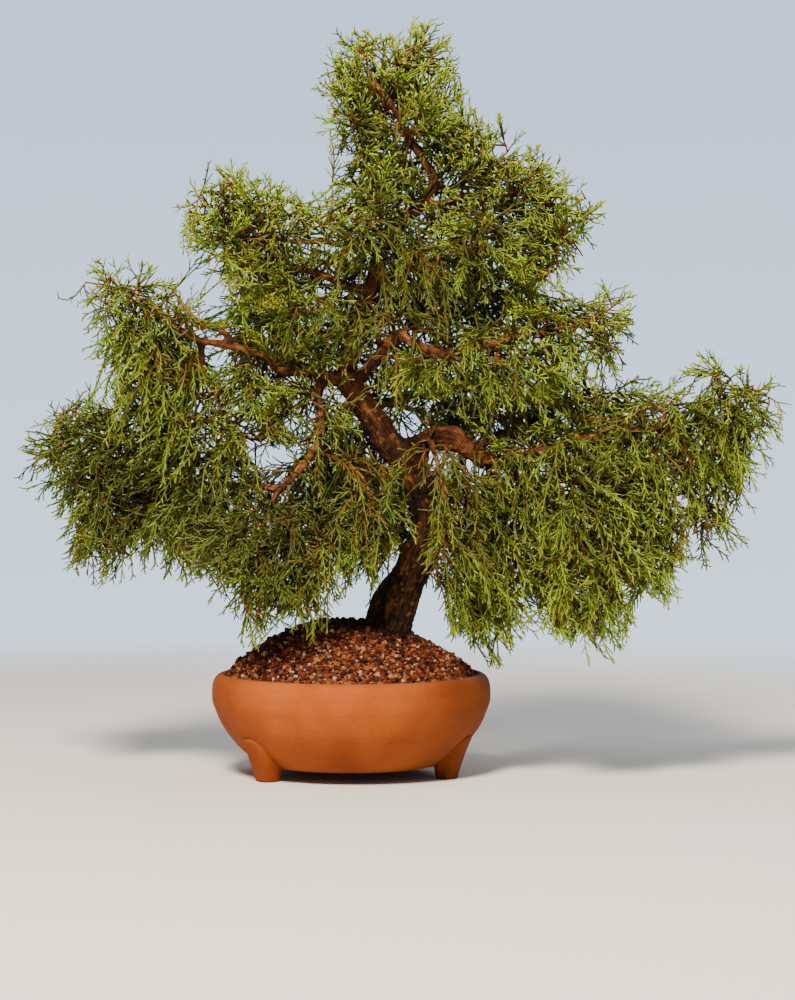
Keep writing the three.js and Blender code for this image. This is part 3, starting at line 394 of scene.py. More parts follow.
# Openings in the crown through which the light comes: x, z, half width, half height.
OPENINGS = [
    (78, 152, 18, 30), (-80, 317, 30, 10), (-6, 160, 20, 11), (-132, 413, 10, 13), (104, 124, 13, 11),
    (150, 625, 11, 9), (-46, 283, 6, 14), (-54, 345, 8, 8), (62, 345, 12, 8), (180, 392, 7, 8),
    (56, 254, 5, 12), (338, 224, 10, 6), (-10, 191, 6, 10), (-106, 349, 6, 9), (-118, 368, 6, 6),
    (-54, 375, 5, 6), (84, 312, 6, 5), (348, 387, 10, 9), (90, 212, 4, 7), (330, 273, 7, 7),
    (228, 195, 6, 8), (230, 181, 5, 5), (-84, 296, 6, 5),
]
# Where the foliage is thin: x, z, half width, half height, and how much thinner.
SPARSE = [
    (372, 236, 66, 58, 0.46), (300, 172, 46, 26, 0.25), (240, 130, 40, 30, 0.1), (-225, 215, 60, 24, 0.12),
    (64, 180, 60, 46, 0.25), (-110, 345, 60, 60, 0.12), (0, 180, 40, 40, 0.2),
]
# Wood that shows through the foliage: x and z of its ends, half width, share of the foliage kept before it.
SHOWN_WOOD = [
    (-8, 392, 30, 340, 14, 0.06), (30, 340, 78, 284, 16, 0.08), (50, 178, 40, 134, 24, 0.03),
    (57, 319, 98, 336, 17, 0.04), (98, 336, 130, 316, 14, 0.1), (78, 284, 76, 250, 12, 0.75),
    (10, 398, 44, 438, 12, 0.05), (44, 438, 96, 420, 11, 0.05), (-62, 402, -154, 432, 11, 0.05),
    (-30, 379, -34, 324, 11, 0.06), (-34, 324, -80, 284, 10, 0.1), (22, 514, 16, 474, 9, 0.2),
    (24, 689, 82, 594, 9, 0.2), (-100, 541, -16, 530, 7, 0.25), (18, 484, -60, 508, 6, 0.3),
    (130, 336, 200, 364, 8, 0.2), (190, 322, 262, 342, 5, 0.5), (-154, 434, -190, 460, 6, 0.3),
]


# Shared helpers


def linear(colour):
    """An sRGB hex colour, such as #b8642f, as linear red, green, blue and alpha."""
    values = [int(colour[i:i + 2], 16) / 255 for i in (1, 3, 5)]
    return [v / 12.92 if v <= 0.04045 else ((v + 0.055) / 1.055) ** 2.4 for v in values] + [1.0]


def unit(vectors):
    """Vectors of the same directions, one long."""
    return vectors / np.maximum(np.linalg.norm(vectors, axis=-1, keepdims=True), 1e-9)


def place(points):
    """Turns x and z as seen from in front, and a depth y, into a place on that line of sight."""
    x, z, y = np.moveaxis(np.asarray(points, float)[..., :3], -1, 0)
    front = np.stack([x, np.zeros_like(x), z], -1)
    return VIEWER + (front - VIEWER) * ((y - VIEWER[1]) / -VIEWER[1])[..., None]


def seen(points):
    """The x and z at which the viewer in front sees a place."""
    points = np.asarray(points, float)
    share = -VIEWER[1] / (points[..., 1] - VIEWER[1])
    return (VIEWER + (points - VIEWER) * share[..., None])[..., [0, 2]]


def in_metres(points):
    """Places in Blender's own frame, which starts below the middle of the whole object."""
    return (np.asarray(points, float) + POT_AXIS) * MM


def add_object(name, points, triangles, attributes, material):
    """A smooth mesh object of triangles; attributes are values for each of its points."""
    mesh = bpy.data.meshes.new(name)
    mesh.vertices.add(len(points))
    mesh.vertices.foreach_set("co", in_metres(points).astype(np.float32).ravel())
    mesh.loops.add(len(triangles) * 3)
    mesh.loops.foreach_set("vertex_index", triangles.astype(np.int32).ravel())
    mesh.polygons.add(len(triangles))
    mesh.polygons.foreach_set("loop_start", np.arange(0, len(triangles) * 3, 3, dtype=np.int32))
    mesh.update(calc_edges=True)
    mesh.shade_smooth()
    set_attributes(mesh, attributes)
    mesh.materials.append(material)
    made = bpy.data.objects.new(name, mesh)
    bpy.context.collection.objects.link(made)
    return made


def set_attributes(mesh, attributes):
    """Writes a number or a vector for each of a mesh's points, for its material to read."""
    for key, values in attributes.items():
        kind = "FLOAT" if values.ndim == 1 else "FLOAT_VECTOR"
        field = "value" if values.ndim == 1 else "vector"
        layer = mesh.attributes.new(key, kind, "POINT")
        layer.data.foreach_set(field, values.astype(np.float32).ravel())


def object_of(bm, name, material):
    """A smooth mesh object of a bmesh, which is freed."""
    mesh = bpy.data.meshes.new(name)
    bm.to_mesh(mesh)
    bm.free()
    mesh.shade_smooth()
    mesh.materials.append(material)
    made = bpy.data.objects.new(name, mesh)
    bpy.context.collection.objects.link(made)
    return made


def dress(node, material):
    """Puts a CAD node's material in its slot, and changes nothing else of it."""
    node.data.materials.clear()
    node.data.materials.append(material)


def finish_piece(piece, nodes=()):
    """Binds a piece to the frame: it rides on the root and stands for CAD nodes."""
    if not piece.data.polygons:
        raise RuntimeError(f"{piece.name} has no faces")
    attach(piece, "root")
    if nodes:
        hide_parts(*nodes)


def arrays_of(bm):
    """The points and triangles of a bmesh, which is freed."""
    bm.verts.ensure_lookup_table()
    bm.verts.index_update()
    points = np.array([vert.co[:] for vert in bm.verts])
    triangles = np.array([[vert.index for vert in face.verts] for face in bm.faces])
    bm.free()
    return points, triangles


def upright_edges(bm):
    """The edges of a new cone that run along it."""
    return [edge for edge in bm.edges if abs(edge.verts[0].co.z - edge.verts[1].co.z) > 0.5]


def column(sides, rows, pointed=False):
    """A closed column one long: each point's share along it and its side directions, and the triangles."""
    bm = bmesh.new()
    bmesh.ops.create_cone(bm, cap_ends=True, segments=sides, radius1=1, radius2=1, depth=1)
    if rows > 1:
        bmesh.ops.subdivide_edges(bm, edges=upright_edges(bm), cuts=rows - 1, use_grid_fill=True)
    if pointed:
        top = [vert for vert in bm.verts if vert.co.z > 0.499]
        bmesh.ops.pointmerge(bm, verts=top, merge_co=(0, 0, 0.5))
    bmesh.ops.triangulate(bm, faces=bm.faces)
    points, triangles = arrays_of(bm)
    shares = points[:, 2] + 0.5
    if pointed:
        # The last ring stands close to the point, so the end is blunt.
        shares = np.where(shares < 0.999, shares * BLUNT / (1 - 1 / rows), 1)
    return shares, points[:, :2], triangles


def bezier(controls, shares):
    """Places and directions on cubic curves; controls is (n, 4, 3) and shares broadcasts to (n, m)."""
    t = shares[..., None]
    a, b, c, d = (controls[:, None, k] for k in range(4))
    s = 1 - t
    places = s ** 3 * a + 3 * s * s * t * b + 3 * s * t * t * c + t ** 3 * d
    slopes = 3 * s * s * (b - a) + 6 * s * t * (c - b) + 3 * t * t * (d - c)
    return places, unit(slopes)


def on_curves(curves, index, share):
    """The place and direction at one station each: the number of its curve and the share along it."""
    places, slopes = bezier(curves[index], share[:, None])
    return places[:, 0], slopes[:, 0]


def lengths_of(curves):
    """The lengths of cubic curves, near enough, by way of their control points."""
    return np.linalg.norm(np.diff(curves, axis=-2), axis=-1).sum(-1)


def laid(template, controls, radii, taper):
    """Copies of a column laid along cubic curves. A copy's radius starts at taper's first value times its
    own, and changes by the second value times its own towards its end."""
    shares, sides, triangles = template
    count = len(controls)
    centres, slopes = bezier(controls, np.broadcast_to(shares, (count, len(shares))))
    chord = unit(controls[:, 3] - controls[:, 0])
    helper = np.where(np.abs(chord[:, 2:3]) > 0.8, [[1.0, 0.2, 0.0]], [[0.1, 0.2, 1.0]])
    across = unit(np.cross(chord, helper))
    second = unit(np.cross(slopes, across[:, None]))
    first = np.cross(second, slopes)
    radius = radii[:, None] * (taper[0] + taper[1] * shares)[None]
    offset = sides[None, :, 0, None] * first + sides[None, :, 1, None] * second
    points = centres + radius[..., None] * offset
    faces = triangles[None] + (np.arange(count) * len(shares))[:, None, None]
    return points.reshape(-1, 3), faces.reshape(-1, 3), np.tile(shares, count)


def shade(value):
    """A node's value. A hex colour or a user's colour gets the four numbers that a colour socket takes."""
    if isinstance(value, str):
        return linear(value)
    if isinstance(value, Color):
        return [*value, 1.0]
    return value


def feed(tree, node, inputs):
    """Sets a node's inputs, each to a number, a colour or the socket that feeds it."""
    for key, value in inputs.items():
        if isinstance(value, bpy.types.NodeSocket):
            tree.links.new(value, node.inputs[key])
        else:
            node.inputs[key].default_value = shade(value)


def add_node(tree, kind, inputs=None, stops=(), **settings):
    """Adds a node with its settings and links, and returns its outputs. A colour ramp has stops too, each a
    place and a colour."""
    added = tree.nodes.new("ShaderNode" + kind)
    for key, value in settings.items():
        setattr(added, key, value)
    if stops:
        elements = added.color_ramp.elements
        while len(elements) < len(stops):
            elements.new(0.5)
        for element, (position, colour) in zip(elements, stops):
            element.position = position
            element.color = shade(colour)
    feed(tree, added, inputs or {})
    return added.outputs


def new_material(name):
    """An empty material, its tree of nodes and its surface."""
    material = bpy.data.materials.new(name)
    material.use_nodes = True
    tree = material.node_tree
    tree.nodes.clear()
    surface = tree.nodes.new("ShaderNodeBsdfPrincipled")
    add_node(tree, "OutputMaterial", {"Surface": surface.outputs["BSDF"]})
    return material, tree, surface


# Materials

# A Mix node for colours has sockets of the same name, so they go by number.
FACTOR, FIRST, SECOND, MIXED = 0, 6, 7, 2
BLEND = {"data_type": "RGBA", "blend_type": "MIX"}
MULTIPLY = {"data_type": "RGBA", "blend_type": "MULTIPLY"}


def terracotta_material(settings):
    """Terracotta, thrown and fired without a glaze: matt, warm and mottled, with faint throwing lines."""
    material, tree, surface = new_material("terracotta_unglazed")
    where = add_node(tree, "TexCoord")["Object"]
    # Where the fire was hotter or cooler the clay is lighter or darker, in clouds about 70 mm across.
    clouds = add_node(tree, "TexNoise", {"Vector": where, "Scale": 1 / (70 * MM), "Detail": 3.0})["Fac"]
    colour = add_node(tree, "ValToRGB", {"Fac": clouds}, [
        (0.3, settings.shade), (0.5, settings.colour), (0.72, settings.light)])["Color"]
    # Flecks and pores a millimetre or two across.
    flecks = add_node(tree, "TexNoise", {"Vector": where, "Scale": 1 / (2.4 * MM), "Detail": 4.0})["Fac"]
    speck = add_node(tree, "ValToRGB", {"Fac": flecks}, [(0.36, "#9c8c80"), (0.5, "#ffffff")])["Color"]
    colour = add_node(tree, "Mix", {FACTOR: 0.16, FIRST: colour, SECOND: speck}, **MULTIPLY)[MIXED]
    # Throwing lines 2 to 4 mm apart, seen as faint bands round the pot.
    rounds = (1 / (165 * MM), 1 / (165 * MM), 1 / (3.3 * MM))
    stretched = add_node(tree, "Mapping", {"Vector": where, "Scale": rounds})["Vector"]
    bands = add_node(tree, "TexNoise", {"Vector": stretched, "Scale": 1.0, "Detail": 2.0})["Fac"]
    band = add_node(tree, "ValToRGB", {"Fac": bands}, [(0.3, "#d9cfc8"), (0.7, "#ffffff")])["Color"]
    colour = add_node(tree, "Mix", {FACTOR: 0.22, FIRST: colour, SECOND: band}, **MULTIPLY)[MIXED]
    # Below 60 mm the wall is a little darker.
    axes = add_node(tree, "SeparateXYZ", {"Vector": where})
    low = add_node(tree, "MapRange", {"Value": axes["Z"], "From Min": 60 * MM, "From Max": 0.0})["Result"]
    colour = add_node(tree, "Mix", {FACTOR: low, FIRST: colour, SECOND: "#c8c4b8"}, **MULTIPLY)[MIXED]
    # Painted shade: both flanks are darkened, the right one more, as the light falls off round the sides.
    across = add_node(tree, "MapRange", {
        "Value": axes["X"], "From Min": -190 * MM, "From Max": 90 * MM})["Result"]
    painted_side_shade = add_node(tree, "ValToRGB", {"Fac": across}, [
        (0.0, "#dad2ca"), (0.3, "#ffffff"), (0.6, "#ffffff"), (0.92, "#bfb9ae")])["Color"]
    colour = add_node(tree, "Mix", {FACTOR: 1.0, FIRST: colour, SECOND: painted_side_shade}, **MULTIPLY)[MIXED]
    height = add_node(tree, "Math", {0: bands, 1: 0.3, 2: flecks}, operation="MULTIPLY_ADD")["Value"]
    bump = add_node(tree, "Bump", {"Height": height, "Strength": 0.35, "Distance": 0.4 * MM})["Normal"]
    feed(tree, surface, {"Base Color": colour, "Roughness": 0.85, "IOR": 1.3, "Normal": bump})
    return material


def grit_material():
    """Sieved bonsai grit of fired clay, pumice and lava: matt angular grains, each in its own colour."""
    material, tree, surface = new_material("bonsai_grit")
    where = add_node(tree, "TexCoord")["Object"]
    draw = add_node(tree, "Attribute", attribute_name="draw")["Fac"]
    wet = add_node(tree, "Attribute", attribute_name="wet")["Fac"]
    colour = add_node(tree, "ValToRGB", {"Fac": draw}, [
        (0.0, "#150602"), (0.2, "#301005"), (0.38, "#54200a"), (0.54, "#6f3012"), (0.68, "#8c4a22"),
        (0.8, "#ad7244"), (0.9, "#cda074"), (1.0, "#ead0b0")])["Color"]
    # The crumbs of a grain are about a millimetre across.
    crumbs = add_node(tree, "TexNoise", {"Vector": where, "Scale": 1 / (1.1 * MM), "Detail": 3.0})["Fac"]
    speck = add_node(tree, "ValToRGB", {"Fac": crumbs}, [(0.35, "#8d7a6c"), (0.62, "#ffffff")])["Color"]
    colour = add_node(tree, "Mix", {FACTOR: 0.5, FIRST: colour, SECOND: speck}, **MULTIPLY)[MIXED]
    # Painted shade: round the trunk's foot the grit is darker.
    colour = add_node(tree, "Mix", {FACTOR: wet, FIRST: colour, SECOND: "#5e473a"}, **MULTIPLY)[MIXED]
    bump = add_node(tree, "Bump", {"Height": crumbs, "Strength": 0.5, "Distance": 0.4 * MM})["Normal"]
    feed(tree, surface, {"Base Color": colour, "Roughness": 0.86, "IOR": 1.3, "Normal": bump})
    return material


def soil_material():
    """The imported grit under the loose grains: the same clay and lava, darker as little light gets in."""
    material, tree, surface = new_material("packed_grit")
    where = add_node(tree, "TexCoord")["Object"]
    # Grains a little over 4 mm across, each in one tone.
    grains = add_node(tree, "TexVoronoi", {"Vector": where, "Scale": 1 / (4.2 * MM)})
    tone = add_node(tree, "SeparateColor", {"Color": grains["Color"]})["Red"]
    colour = add_node(tree, "ValToRGB", {"Fac": tone}, [
        (0.0, "#1d0e07"), (0.5, "#4a2413"), (0.8, "#6b3a1e"), (1.0, "#8a5a34")])["Color"]
    bump = add_node(tree, "Bump", {
        "Height": grains["Distance"], "Strength": 0.8, "Distance": 1.5 * MM}, invert=True)["Normal"]
    feed(tree, surface, {"Base Color": colour, "Roughness": 0.92, "Normal": bump})
    return material


def bark_material():
    """Juniper bark: fibrous strips along the limb, nearly black at the foot and paler on the twigs."""
    material, tree, surface = new_material("juniper_bark")
    grain = add_node(tree, "Attribute", attribute_name="grain")["Vector"]
    age = add_node(tree, "Attribute", attribute_name="age")["Fac"]
    # The grain runs in steps of one fibre, about 1 mm across and 8 mm long. Patches are nearly five times
    # that.
    fibres = add_node(tree, "TexNoise", {
        "Vector": grain, "Scale": 1.0, "Detail": 4.0, "Roughness": 0.6})["Fac"]
    patches = add_node(tree, "TexNoise", {"Vector": grain, "Scale": 0.22, "Detail": 3.0})["Fac"]
    # The bark's age runs from 0 at the foot to 1 on the twigs.
    dark = add_node(tree, "ValToRGB", {"Fac": age}, [
        (0.0, "#140902"), (0.14, "#1e0d03"), (0.3, "#210f04"), (0.5, "#341b09"), (1.0, "#6b3d1a")])["Color"]
    pale = add_node(tree, "ValToRGB", {"Fac": age}, [
        (0.0, "#4a3116"), (0.14, "#4c3016"), (0.3, "#4e270e"), (0.5, "#6f3d1a"), (1.0, "#b07742")])["Color"]
    level = add_node(tree, "ValToRGB", {"Fac": fibres}, [(0.38, "#000000"), (0.66, "#ffffff")])["Color"]
    colour = add_node(tree, "Mix", {FACTOR: level, FIRST: dark, SECOND: pale}, **BLEND)[MIXED]
    # Crusts are dark and grey, and scars tan.
    crust = add_node(tree, "ValToRGB", {"Fac": patches}, [(0.32, "#ffffff"), (0.46, "#000000")])["Color"]
    grey = add_node(tree, "Mix", {FACTOR: 1.0, FIRST: dark, SECOND: "#8c8078"}, **MULTIPLY)[MIXED]
    colour = add_node(tree, "Mix", {FACTOR: crust, FIRST: colour, SECOND: grey}, **BLEND)[MIXED]
    scars = add_node(tree, "ValToRGB", {"Fac": patches}, [(0.6, "#000000"), (0.74, "#ffffff")])["Color"]
    tan = add_node(tree, "Mix", {FACTOR: 0.4, FIRST: pale, SECOND: "#9a6a34"}, **BLEND)[MIXED]
    colour = add_node(tree, "Mix", {FACTOR: scars, FIRST: colour, SECOND: tan}, **BLEND)[MIXED]
    # Where a flake has come off, the fresh bark under it shows tan, a few millimetres across.
    where = add_node(tree, "TexCoord")["Object"]
    flakes = add_node(tree, "TexNoise", {"Vector": where, "Scale": 1 / (6 * MM), "Detail": 3.0})["Fac"]
    bare = add_node(tree, "ValToRGB", {"Fac": flakes}, [(0.58, "#000000"), (0.65, "#c8c8c8")])["Color"]
    fresh = add_node(tree, "Mix", {FACTOR: 0.5, FIRST: pale, SECOND: "#a5713a"}, **BLEND)[MIXED]
    colour = add_node(tree, "Mix", {FACTOR: bare, FIRST: colour, SECOND: fresh}, **BLEND)[MIXED]
    # Painted shade: the furrows between the strips and the dents of gnarled limbs are darkened.
    groove = add_node(tree, "Attribute", attribute_name="groove")["Fac"]
    deep = add_node(tree, "Mix", {FACTOR: 1.0, FIRST: dark, SECOND: "#b0a498"}, **MULTIPLY)[MIXED]
    colour = add_node(tree, "Mix", {FACTOR: groove, FIRST: colour, SECOND: deep}, **BLEND)[MIXED]
    # Painted shadow: dark bands wind round the twisted limb, as the shade in spiral grooves.
    band = add_node(tree, "Attribute", attribute_name="band")["Fac"]
    colour = add_node(tree, "Mix", {FACTOR: band, FIRST: colour, SECOND: "#1c0c03"}, **BLEND)[MIXED]
    bump = add_node(tree, "Bump", {"Height": fibres, "Strength": 0.9, "Distance": 1.2 * MM})["Normal"]
    feed(tree, surface, {"Base Color": colour, "Roughness": 0.88, "IOR": 1.3, "Normal": bump})
    return material


def foliage_material(settings):
    """Juniper cords clad in scale leaves: satin green, olive inside, yellow-green at the young tips."""
    material, tree, surface = new_material("juniper_scale_leaves")
    where = add_node(tree, "TexCoord")["Object"]
    # Youth also carries painted light and shade: lighter near the crown's outline and in lit pads.
    young = add_node(tree, "Attribute", attribute_name="young")["Fac"]
    woody = add_node(tree, "Attribute", attribute_name="woody")["Fac"]
    green = add_node(tree, "ValToRGB", {"Fac": young}, [
        (0.0, settings.inner), (0.45, settings.middle), (0.75, settings.outer),
        (1.0, settings.tips)])["Color"]
    # Scale leaves sit about 1 mm apart, which shows as a fine speckle along the cords.
    scales = add_node(tree, "TexNoise", {"Vector": where, "Scale": 1 / (0.9 * MM), "Detail": 2.0})["Fac"]
    speck = add_node(tree, "ValToRGB", {"Fac": scales}, [(0.35, "#7a7964"), (0.6, "#ffffff")])["Color"]
    green = add_node(tree, "Mix", {FACTOR: 0.6, FIRST: green, SECOND: speck}, **MULTIPLY)[MIXED]
    # Shoots differ: some patches, two or three centimetres across, are older and more olive than others.
    shoots = add_node(tree, "TexNoise", {"Vector": where, "Scale": 1 / (26 * MM), "Detail": 3.0})["Fac"]
    older = add_node(tree, "ValToRGB", {"Fac": shoots}, [(0.37, "#000000"), (0.6, "#ffffff")])["Color"]
    green = add_node(tree, "Mix", {FACTOR: older, FIRST: green, SECOND: "#ffdfc6"}, **MULTIPLY)[MIXED]
    colour = add_node(tree, "Mix", {FACTOR: woody, FIRST: green, SECOND: settings.twigs}, **BLEND)[MIXED]
    feed(tree, surface, {"Base Color": colour, "Roughness": 0.5, "IOR": 1.4})
    return material


def screen_material():
    """Moulded polyethylene mesh, black, with the faint unevenness of a cheap moulding."""
    material, tree, surface = new_material("moulded_mesh")
    where = add_node(tree, "TexCoord")["Object"]
    # Dull spots about 2 mm across.
    spots = add_node(tree, "TexNoise", {"Vector": where, "Scale": 1 / (2 * MM), "Detail": 2.0})["Fac"]
    colour = add_node(tree, "ValToRGB", {"Fac": spots}, [(0.3, "#1b1e20"), (0.7, "#33383b")])["Color"]
    bump = add_node(tree, "Bump", {"Height": spots, "Strength": 0.3, "Distance": 0.3 * MM})["Normal"]
    feed(tree, surface, {"Base Color": colour, "Roughness": 0.55, "Normal": bump})
    return material


def floor_material(settings):
    """Seamless studio paper: pale and matt, with a faint mottle from its fibres."""
    material, tree, surface = new_material("seamless_paper")
    where = add_node(tree, "TexCoord")["Object"]
    # The paper's clumps of fibres are about 3 mm across.
    clumps = add_node(tree, "TexNoise", {"Vector": where, "Scale": 1 / (3.3 * MM), "Detail": 2.0})["Fac"]
    mottle = add_node(tree, "ValToRGB", {"Fac": clumps}, [(0.3, "#f1f1f1"), (0.7, "#ffffff")])["Color"]
    colour = add_node(tree, "Mix", {
        FACTOR: 1.0, FIRST: settings.floor, SECOND: mottle}, **MULTIPLY)[MIXED]
    # Far from the tree the paper fades into the wall, so no edge shows from any side.
    centred = add_node(tree, "Mapping", {"Vector": where, "Location": Vector(-POT_AXIS * MM)})["Vector"]
    out = add_node(tree, "VectorMath", {0: centred}, operation="LENGTH")["Value"]
    fade = add_node(tree, "MapRange", {
        "Value": out, "From Min": FLOOR_FADES, "From Max": FLOOR_RADIUS, "To Min": 1.0, "To Max": 0.0},
        interpolation_type="SMOOTHSTEP")["Result"]
    feed(tree, surface, {"Base Color": colour, "Roughness": 0.9, "Alpha": fade})
    return material


def wall_material(settings):
    """A studio wall that glows, lit by no lamp: pale grey-blue, a little lighter near the ground."""
    material, tree, surface = new_material("painted_wall")
    where = add_node(tree, "TexCoord")["Object"]
    height = add_node(tree, "SeparateXYZ", {"Vector": where})["Z"]
    rise = add_node(tree, "MapRange", {"Value": height, "From Min": -1.5, "From Max": 2.5})["Result"]
    colour = add_node(tree, "Mix", {
        FACTOR: rise, FIRST: settings.wall_low, SECOND: settings.wall_high}, **BLEND)[MIXED]
    feed(tree, surface, {
        "Base Color": "#000000", "Specular IOR Level": 0.0, "Emission Color": colour,
        "Emission Strength": 1.7})
    return material


# Settings that a user would change


def tint(name, description, colour):
    """A colour that the user can change."""
    return FloatVectorProperty(name=name, description=description, subtype="COLOR", size=3, min=0, max=1,
                               default=linear(colour)[:3])


def measure(name, description, default, least, most):
    """A length that the user can change, in metres."""
    return FloatProperty(name=name, description=description, default=default, min=least, max=most,
                         unit="LENGTH", subtype="DISTANCE", precision=4)


class BonsaiPotSettings(bpy.types.PropertyGroup):
    """The pot's finish and fineness."""
    colour: tint("Clay", "Colour of the fired clay", "#a55117")
    shade: tint("Shade", "Clay where the fire was cooler", "#8f4211")
    light: tint("Light", "Clay where the fire was hotter", "#b76120")
    segments: IntProperty(name="Segments", description="Steps round the pot", default=120, min=48, max=192)


class BonsaiGritSettings(bpy.types.PropertyGroup):
    """The loose grit on the mound."""
    grains: IntProperty(name="Grains", description="Loose grains on the mound", default=6300, min=500,
                        max=8000)
    size: measure("Grain size", "Middle size of a grain", 0.0041, 0.002, 0.01)


class BonsaiWoodSettings(bpy.types.PropertyGroup):
    """The trunk and limbs."""
    voxel: measure("Voxel", "Grid at which limbs grow together", 0.0017, 0.0011, 0.003)
    furrow: measure("Furrow depth", "Depth of the bark's furrows", 0.0011, 0.0, 0.003)


class BonsaiFoliageSettings(bpy.types.PropertyGroup):
    """The foliage."""
    inner: tint("Inner", "Old inner foliage", "#3f4a12")
    middle: tint("Middle", "Foliage inside the pads", "#5c7019")
    outer: tint("Outer", "Foliage on the pads' outside", "#7f9d2a")
    tips: tint("Tips", "Young tips", "#aed13c")
    twigs: tint("Twigs", "Bare twig bark", "#824515")
    cord: measure("Cord", "Radius of a cord, drawn a little thicker than life so that it shows", 0.0009,
                 0.0004, 0.0015)
    pitch: measure("Twig pitch", "Spacing of the twigs that fill the crown", 0.0155, 0.01, 0.04)
    strand_pitch: measure("Strand pitch", "Spacing of the leafy strands on a twig", 0.007, 0.004, 0.03)


class BonsaiStageSettings(bpy.types.PropertyGroup):
    """Floor, wall and camera."""
    floor: tint("Floor", "Colour of the floor", "#f4f1ea")
    wall_high: tint("Wall above", "Colour of the wall high up", "#bacdec")
    wall_low: tint("Wall below", "Colour of the wall low down", "#daeeff")
    lens: FloatProperty(name="Lens", description="Focal length", default=90.0, min=20.0, max=200.0,
                        subtype="DISTANCE_CAMERA")


# Wood

WOOD = {**LIMBS, **SMALL_WOOD}
WOOD_NAMES = list(WOOD)
TRUNK = WOOD_NAMES.index("trunk")
# A limb's course: places, radii, directions, the distance run and two directions to the side.
Course = namedtuple("Course", "places radii slopes run firsts seconds")


def limb_line(points, step):
    """Even steps along a limb's smooth line: places, radii, directions and the distance run."""
    rows = np.asarray(points, float)
    knots = place(rows)
    ends = np.concatenate([[2 * knots[0] - knots[1]], knots, [2 * knots[-1] - knots[-2]]])
    fine, girths = [], []
    share = np.linspace(0, 1, 24, endpoint=False)[:, None]
    for i in range(len(knots) - 1):
        # A centripetal Catmull-Rom curve from p1 to p2.
        p0, p1, p2, p3 = ends[i:i + 4]
        d0, d1, d2 = (math.sqrt(np.linalg.norm(b - a)) for a, b in ((p0, p1), (p1, p2), (p2, p3)))
        m1 = ((p1 - p0) / d0 - (p2 - p0) / (d0 + d1) + (p2 - p1) / d1) * d1
        m2 = ((p2 - p1) / d1 - (p3 - p1) / (d1 + d2) + (p3 - p2) / d2) * d1
        curve = p1 + m1 * share + (3 * (p2 - p1) - 2 * m1 - m2) * share ** 2 \
            + (2 * (p1 - p2) + m1 + m2) * share ** 3
        fine.append(curve)
        girths.append(rows[i, 3] + (rows[i + 1, 3] - rows[i, 3]) * share[:, 0])
    fine = np.concatenate(fine + [knots[-1:]])
    girths = np.concatenate(girths + [rows[-1:, 3]])
    run = np.concatenate([[0], np.cumsum(np.linalg.norm(np.diff(fine, axis=0), axis=1))])
    steps = np.linspace(0, run[-1], max(4, int(run[-1] / step)) + 1)
    places = np.stack([np.interp(steps, run, fine[:, k]) for k in range(3)], -1)
    slopes = unit(np.gradient(places, axis=0))
    return places, np.interp(steps, run, girths), slopes, steps


def frames_along(slopes):
    """Untwisted side directions along a line."""
    normal = np.array([0.3, -0.9, 0.3])
    firsts = []
    for slope in slopes:
        normal = normal - slope * normal.dot(slope)
        normal = normal / np.linalg.norm(normal)
        firsts.append(normal)
    firsts = np.array(firsts)
    return firsts, np.cross(firsts, slopes)


def waves(angle, run, seed, counts, drift):
    """A sum of ridges round a limb that wander slowly along it, from -1 to 1."""
    total = np.zeros(np.broadcast(angle, run).shape)
    for k, count in enumerate(counts):
        phase = seed * 1.7 + k * 2.1 + drift * run * (1 + 0.3 * k)
        phase += 0.9 * np.sin(run * 0.021 * (k + 1) + seed)
        total += np.cos(count * angle + phase)
    return total / len(counts)


def limb_mesh(name, points, seed):
    """One limb as a closed column with ridges, knobs and a collar where it leaves its parent."""
    places, radii, slopes, run = limb_line(points, LIMB_STEP)
    # Thicker limbs have more sides.
    widest = max(point[3] for point in points)
    sides = 30 if widest > 14 else 20 if widest > 5.5 else 12
    firsts, seconds = frames_along(slopes)
    shares, around, triangles = column(sides, len(places) - 1)
    row = np.rint(shares * (len(places) - 1)).astype(int)
    angle = np.arctan2(around[:, 1], around[:, 0])
    length = run[row]
    girth = radii[row]
    knobs, swell = KNOBS.get(name, PLAIN_KNOBS)
    bulge = np.sin(length / run[-1] * knobs * 2 * math.pi + 1.3 * np.sin(length * 0.05 + seed)
                   + 0.6 * np.cos(angle))
    # Broad ridges and finer ones run along a limb.
    ridges = 0.055 * waves(angle, length, seed, (5, 8), 0.02)
    ridges += 0.03 * waves(angle, length, seed + 3, (11, 13), 0.03)
    lobes = collar = 0
    if name == "trunk":
        # Three lobes run up the trunk from its roots.
        lobes = 0.09 * np.cos(3 * angle + 0.4) * np.clip(1 - length / 150, 0.1, 1)
    else:
        collar = 0.35 * np.exp(-length / (1.6 * girth))
    thickness = girth * (1 + swell * bulge + lobes + ridges + collar)
    offset = around[:, :1] * firsts[row] + around[:, 1:] * seconds[row]
    surface = places[row] + thickness[:, None] * offset
    return surface, triangles, Course(places, radii, slopes, run, firsts, seconds)


def nearest_on(course, places):
    """For each place on the bark, the number of the point on the limbs' courses that it belongs to."""
    tree = KDTree(len(course.places))
    for index, point in enumerate(course.places):
        tree.insert(point, index)
    tree.balance()
    nearest = np.empty(len(places), int)
    for index, point in enumerate(places):
        # Of the nearest points it is the one whose own bark is nearest, so a twig keeps its own.
        hits = tree.find_n(point, 14)
        nearest[index] = min(hits, key=lambda hit: hit[2] - course.radii[hit[1]])[1]
    return nearest


def among(whose, names):
    """Whether places belong to one of the limbs that are named."""
    return np.isin(whose, [WOOD_NAMES.index(name) for name in names])


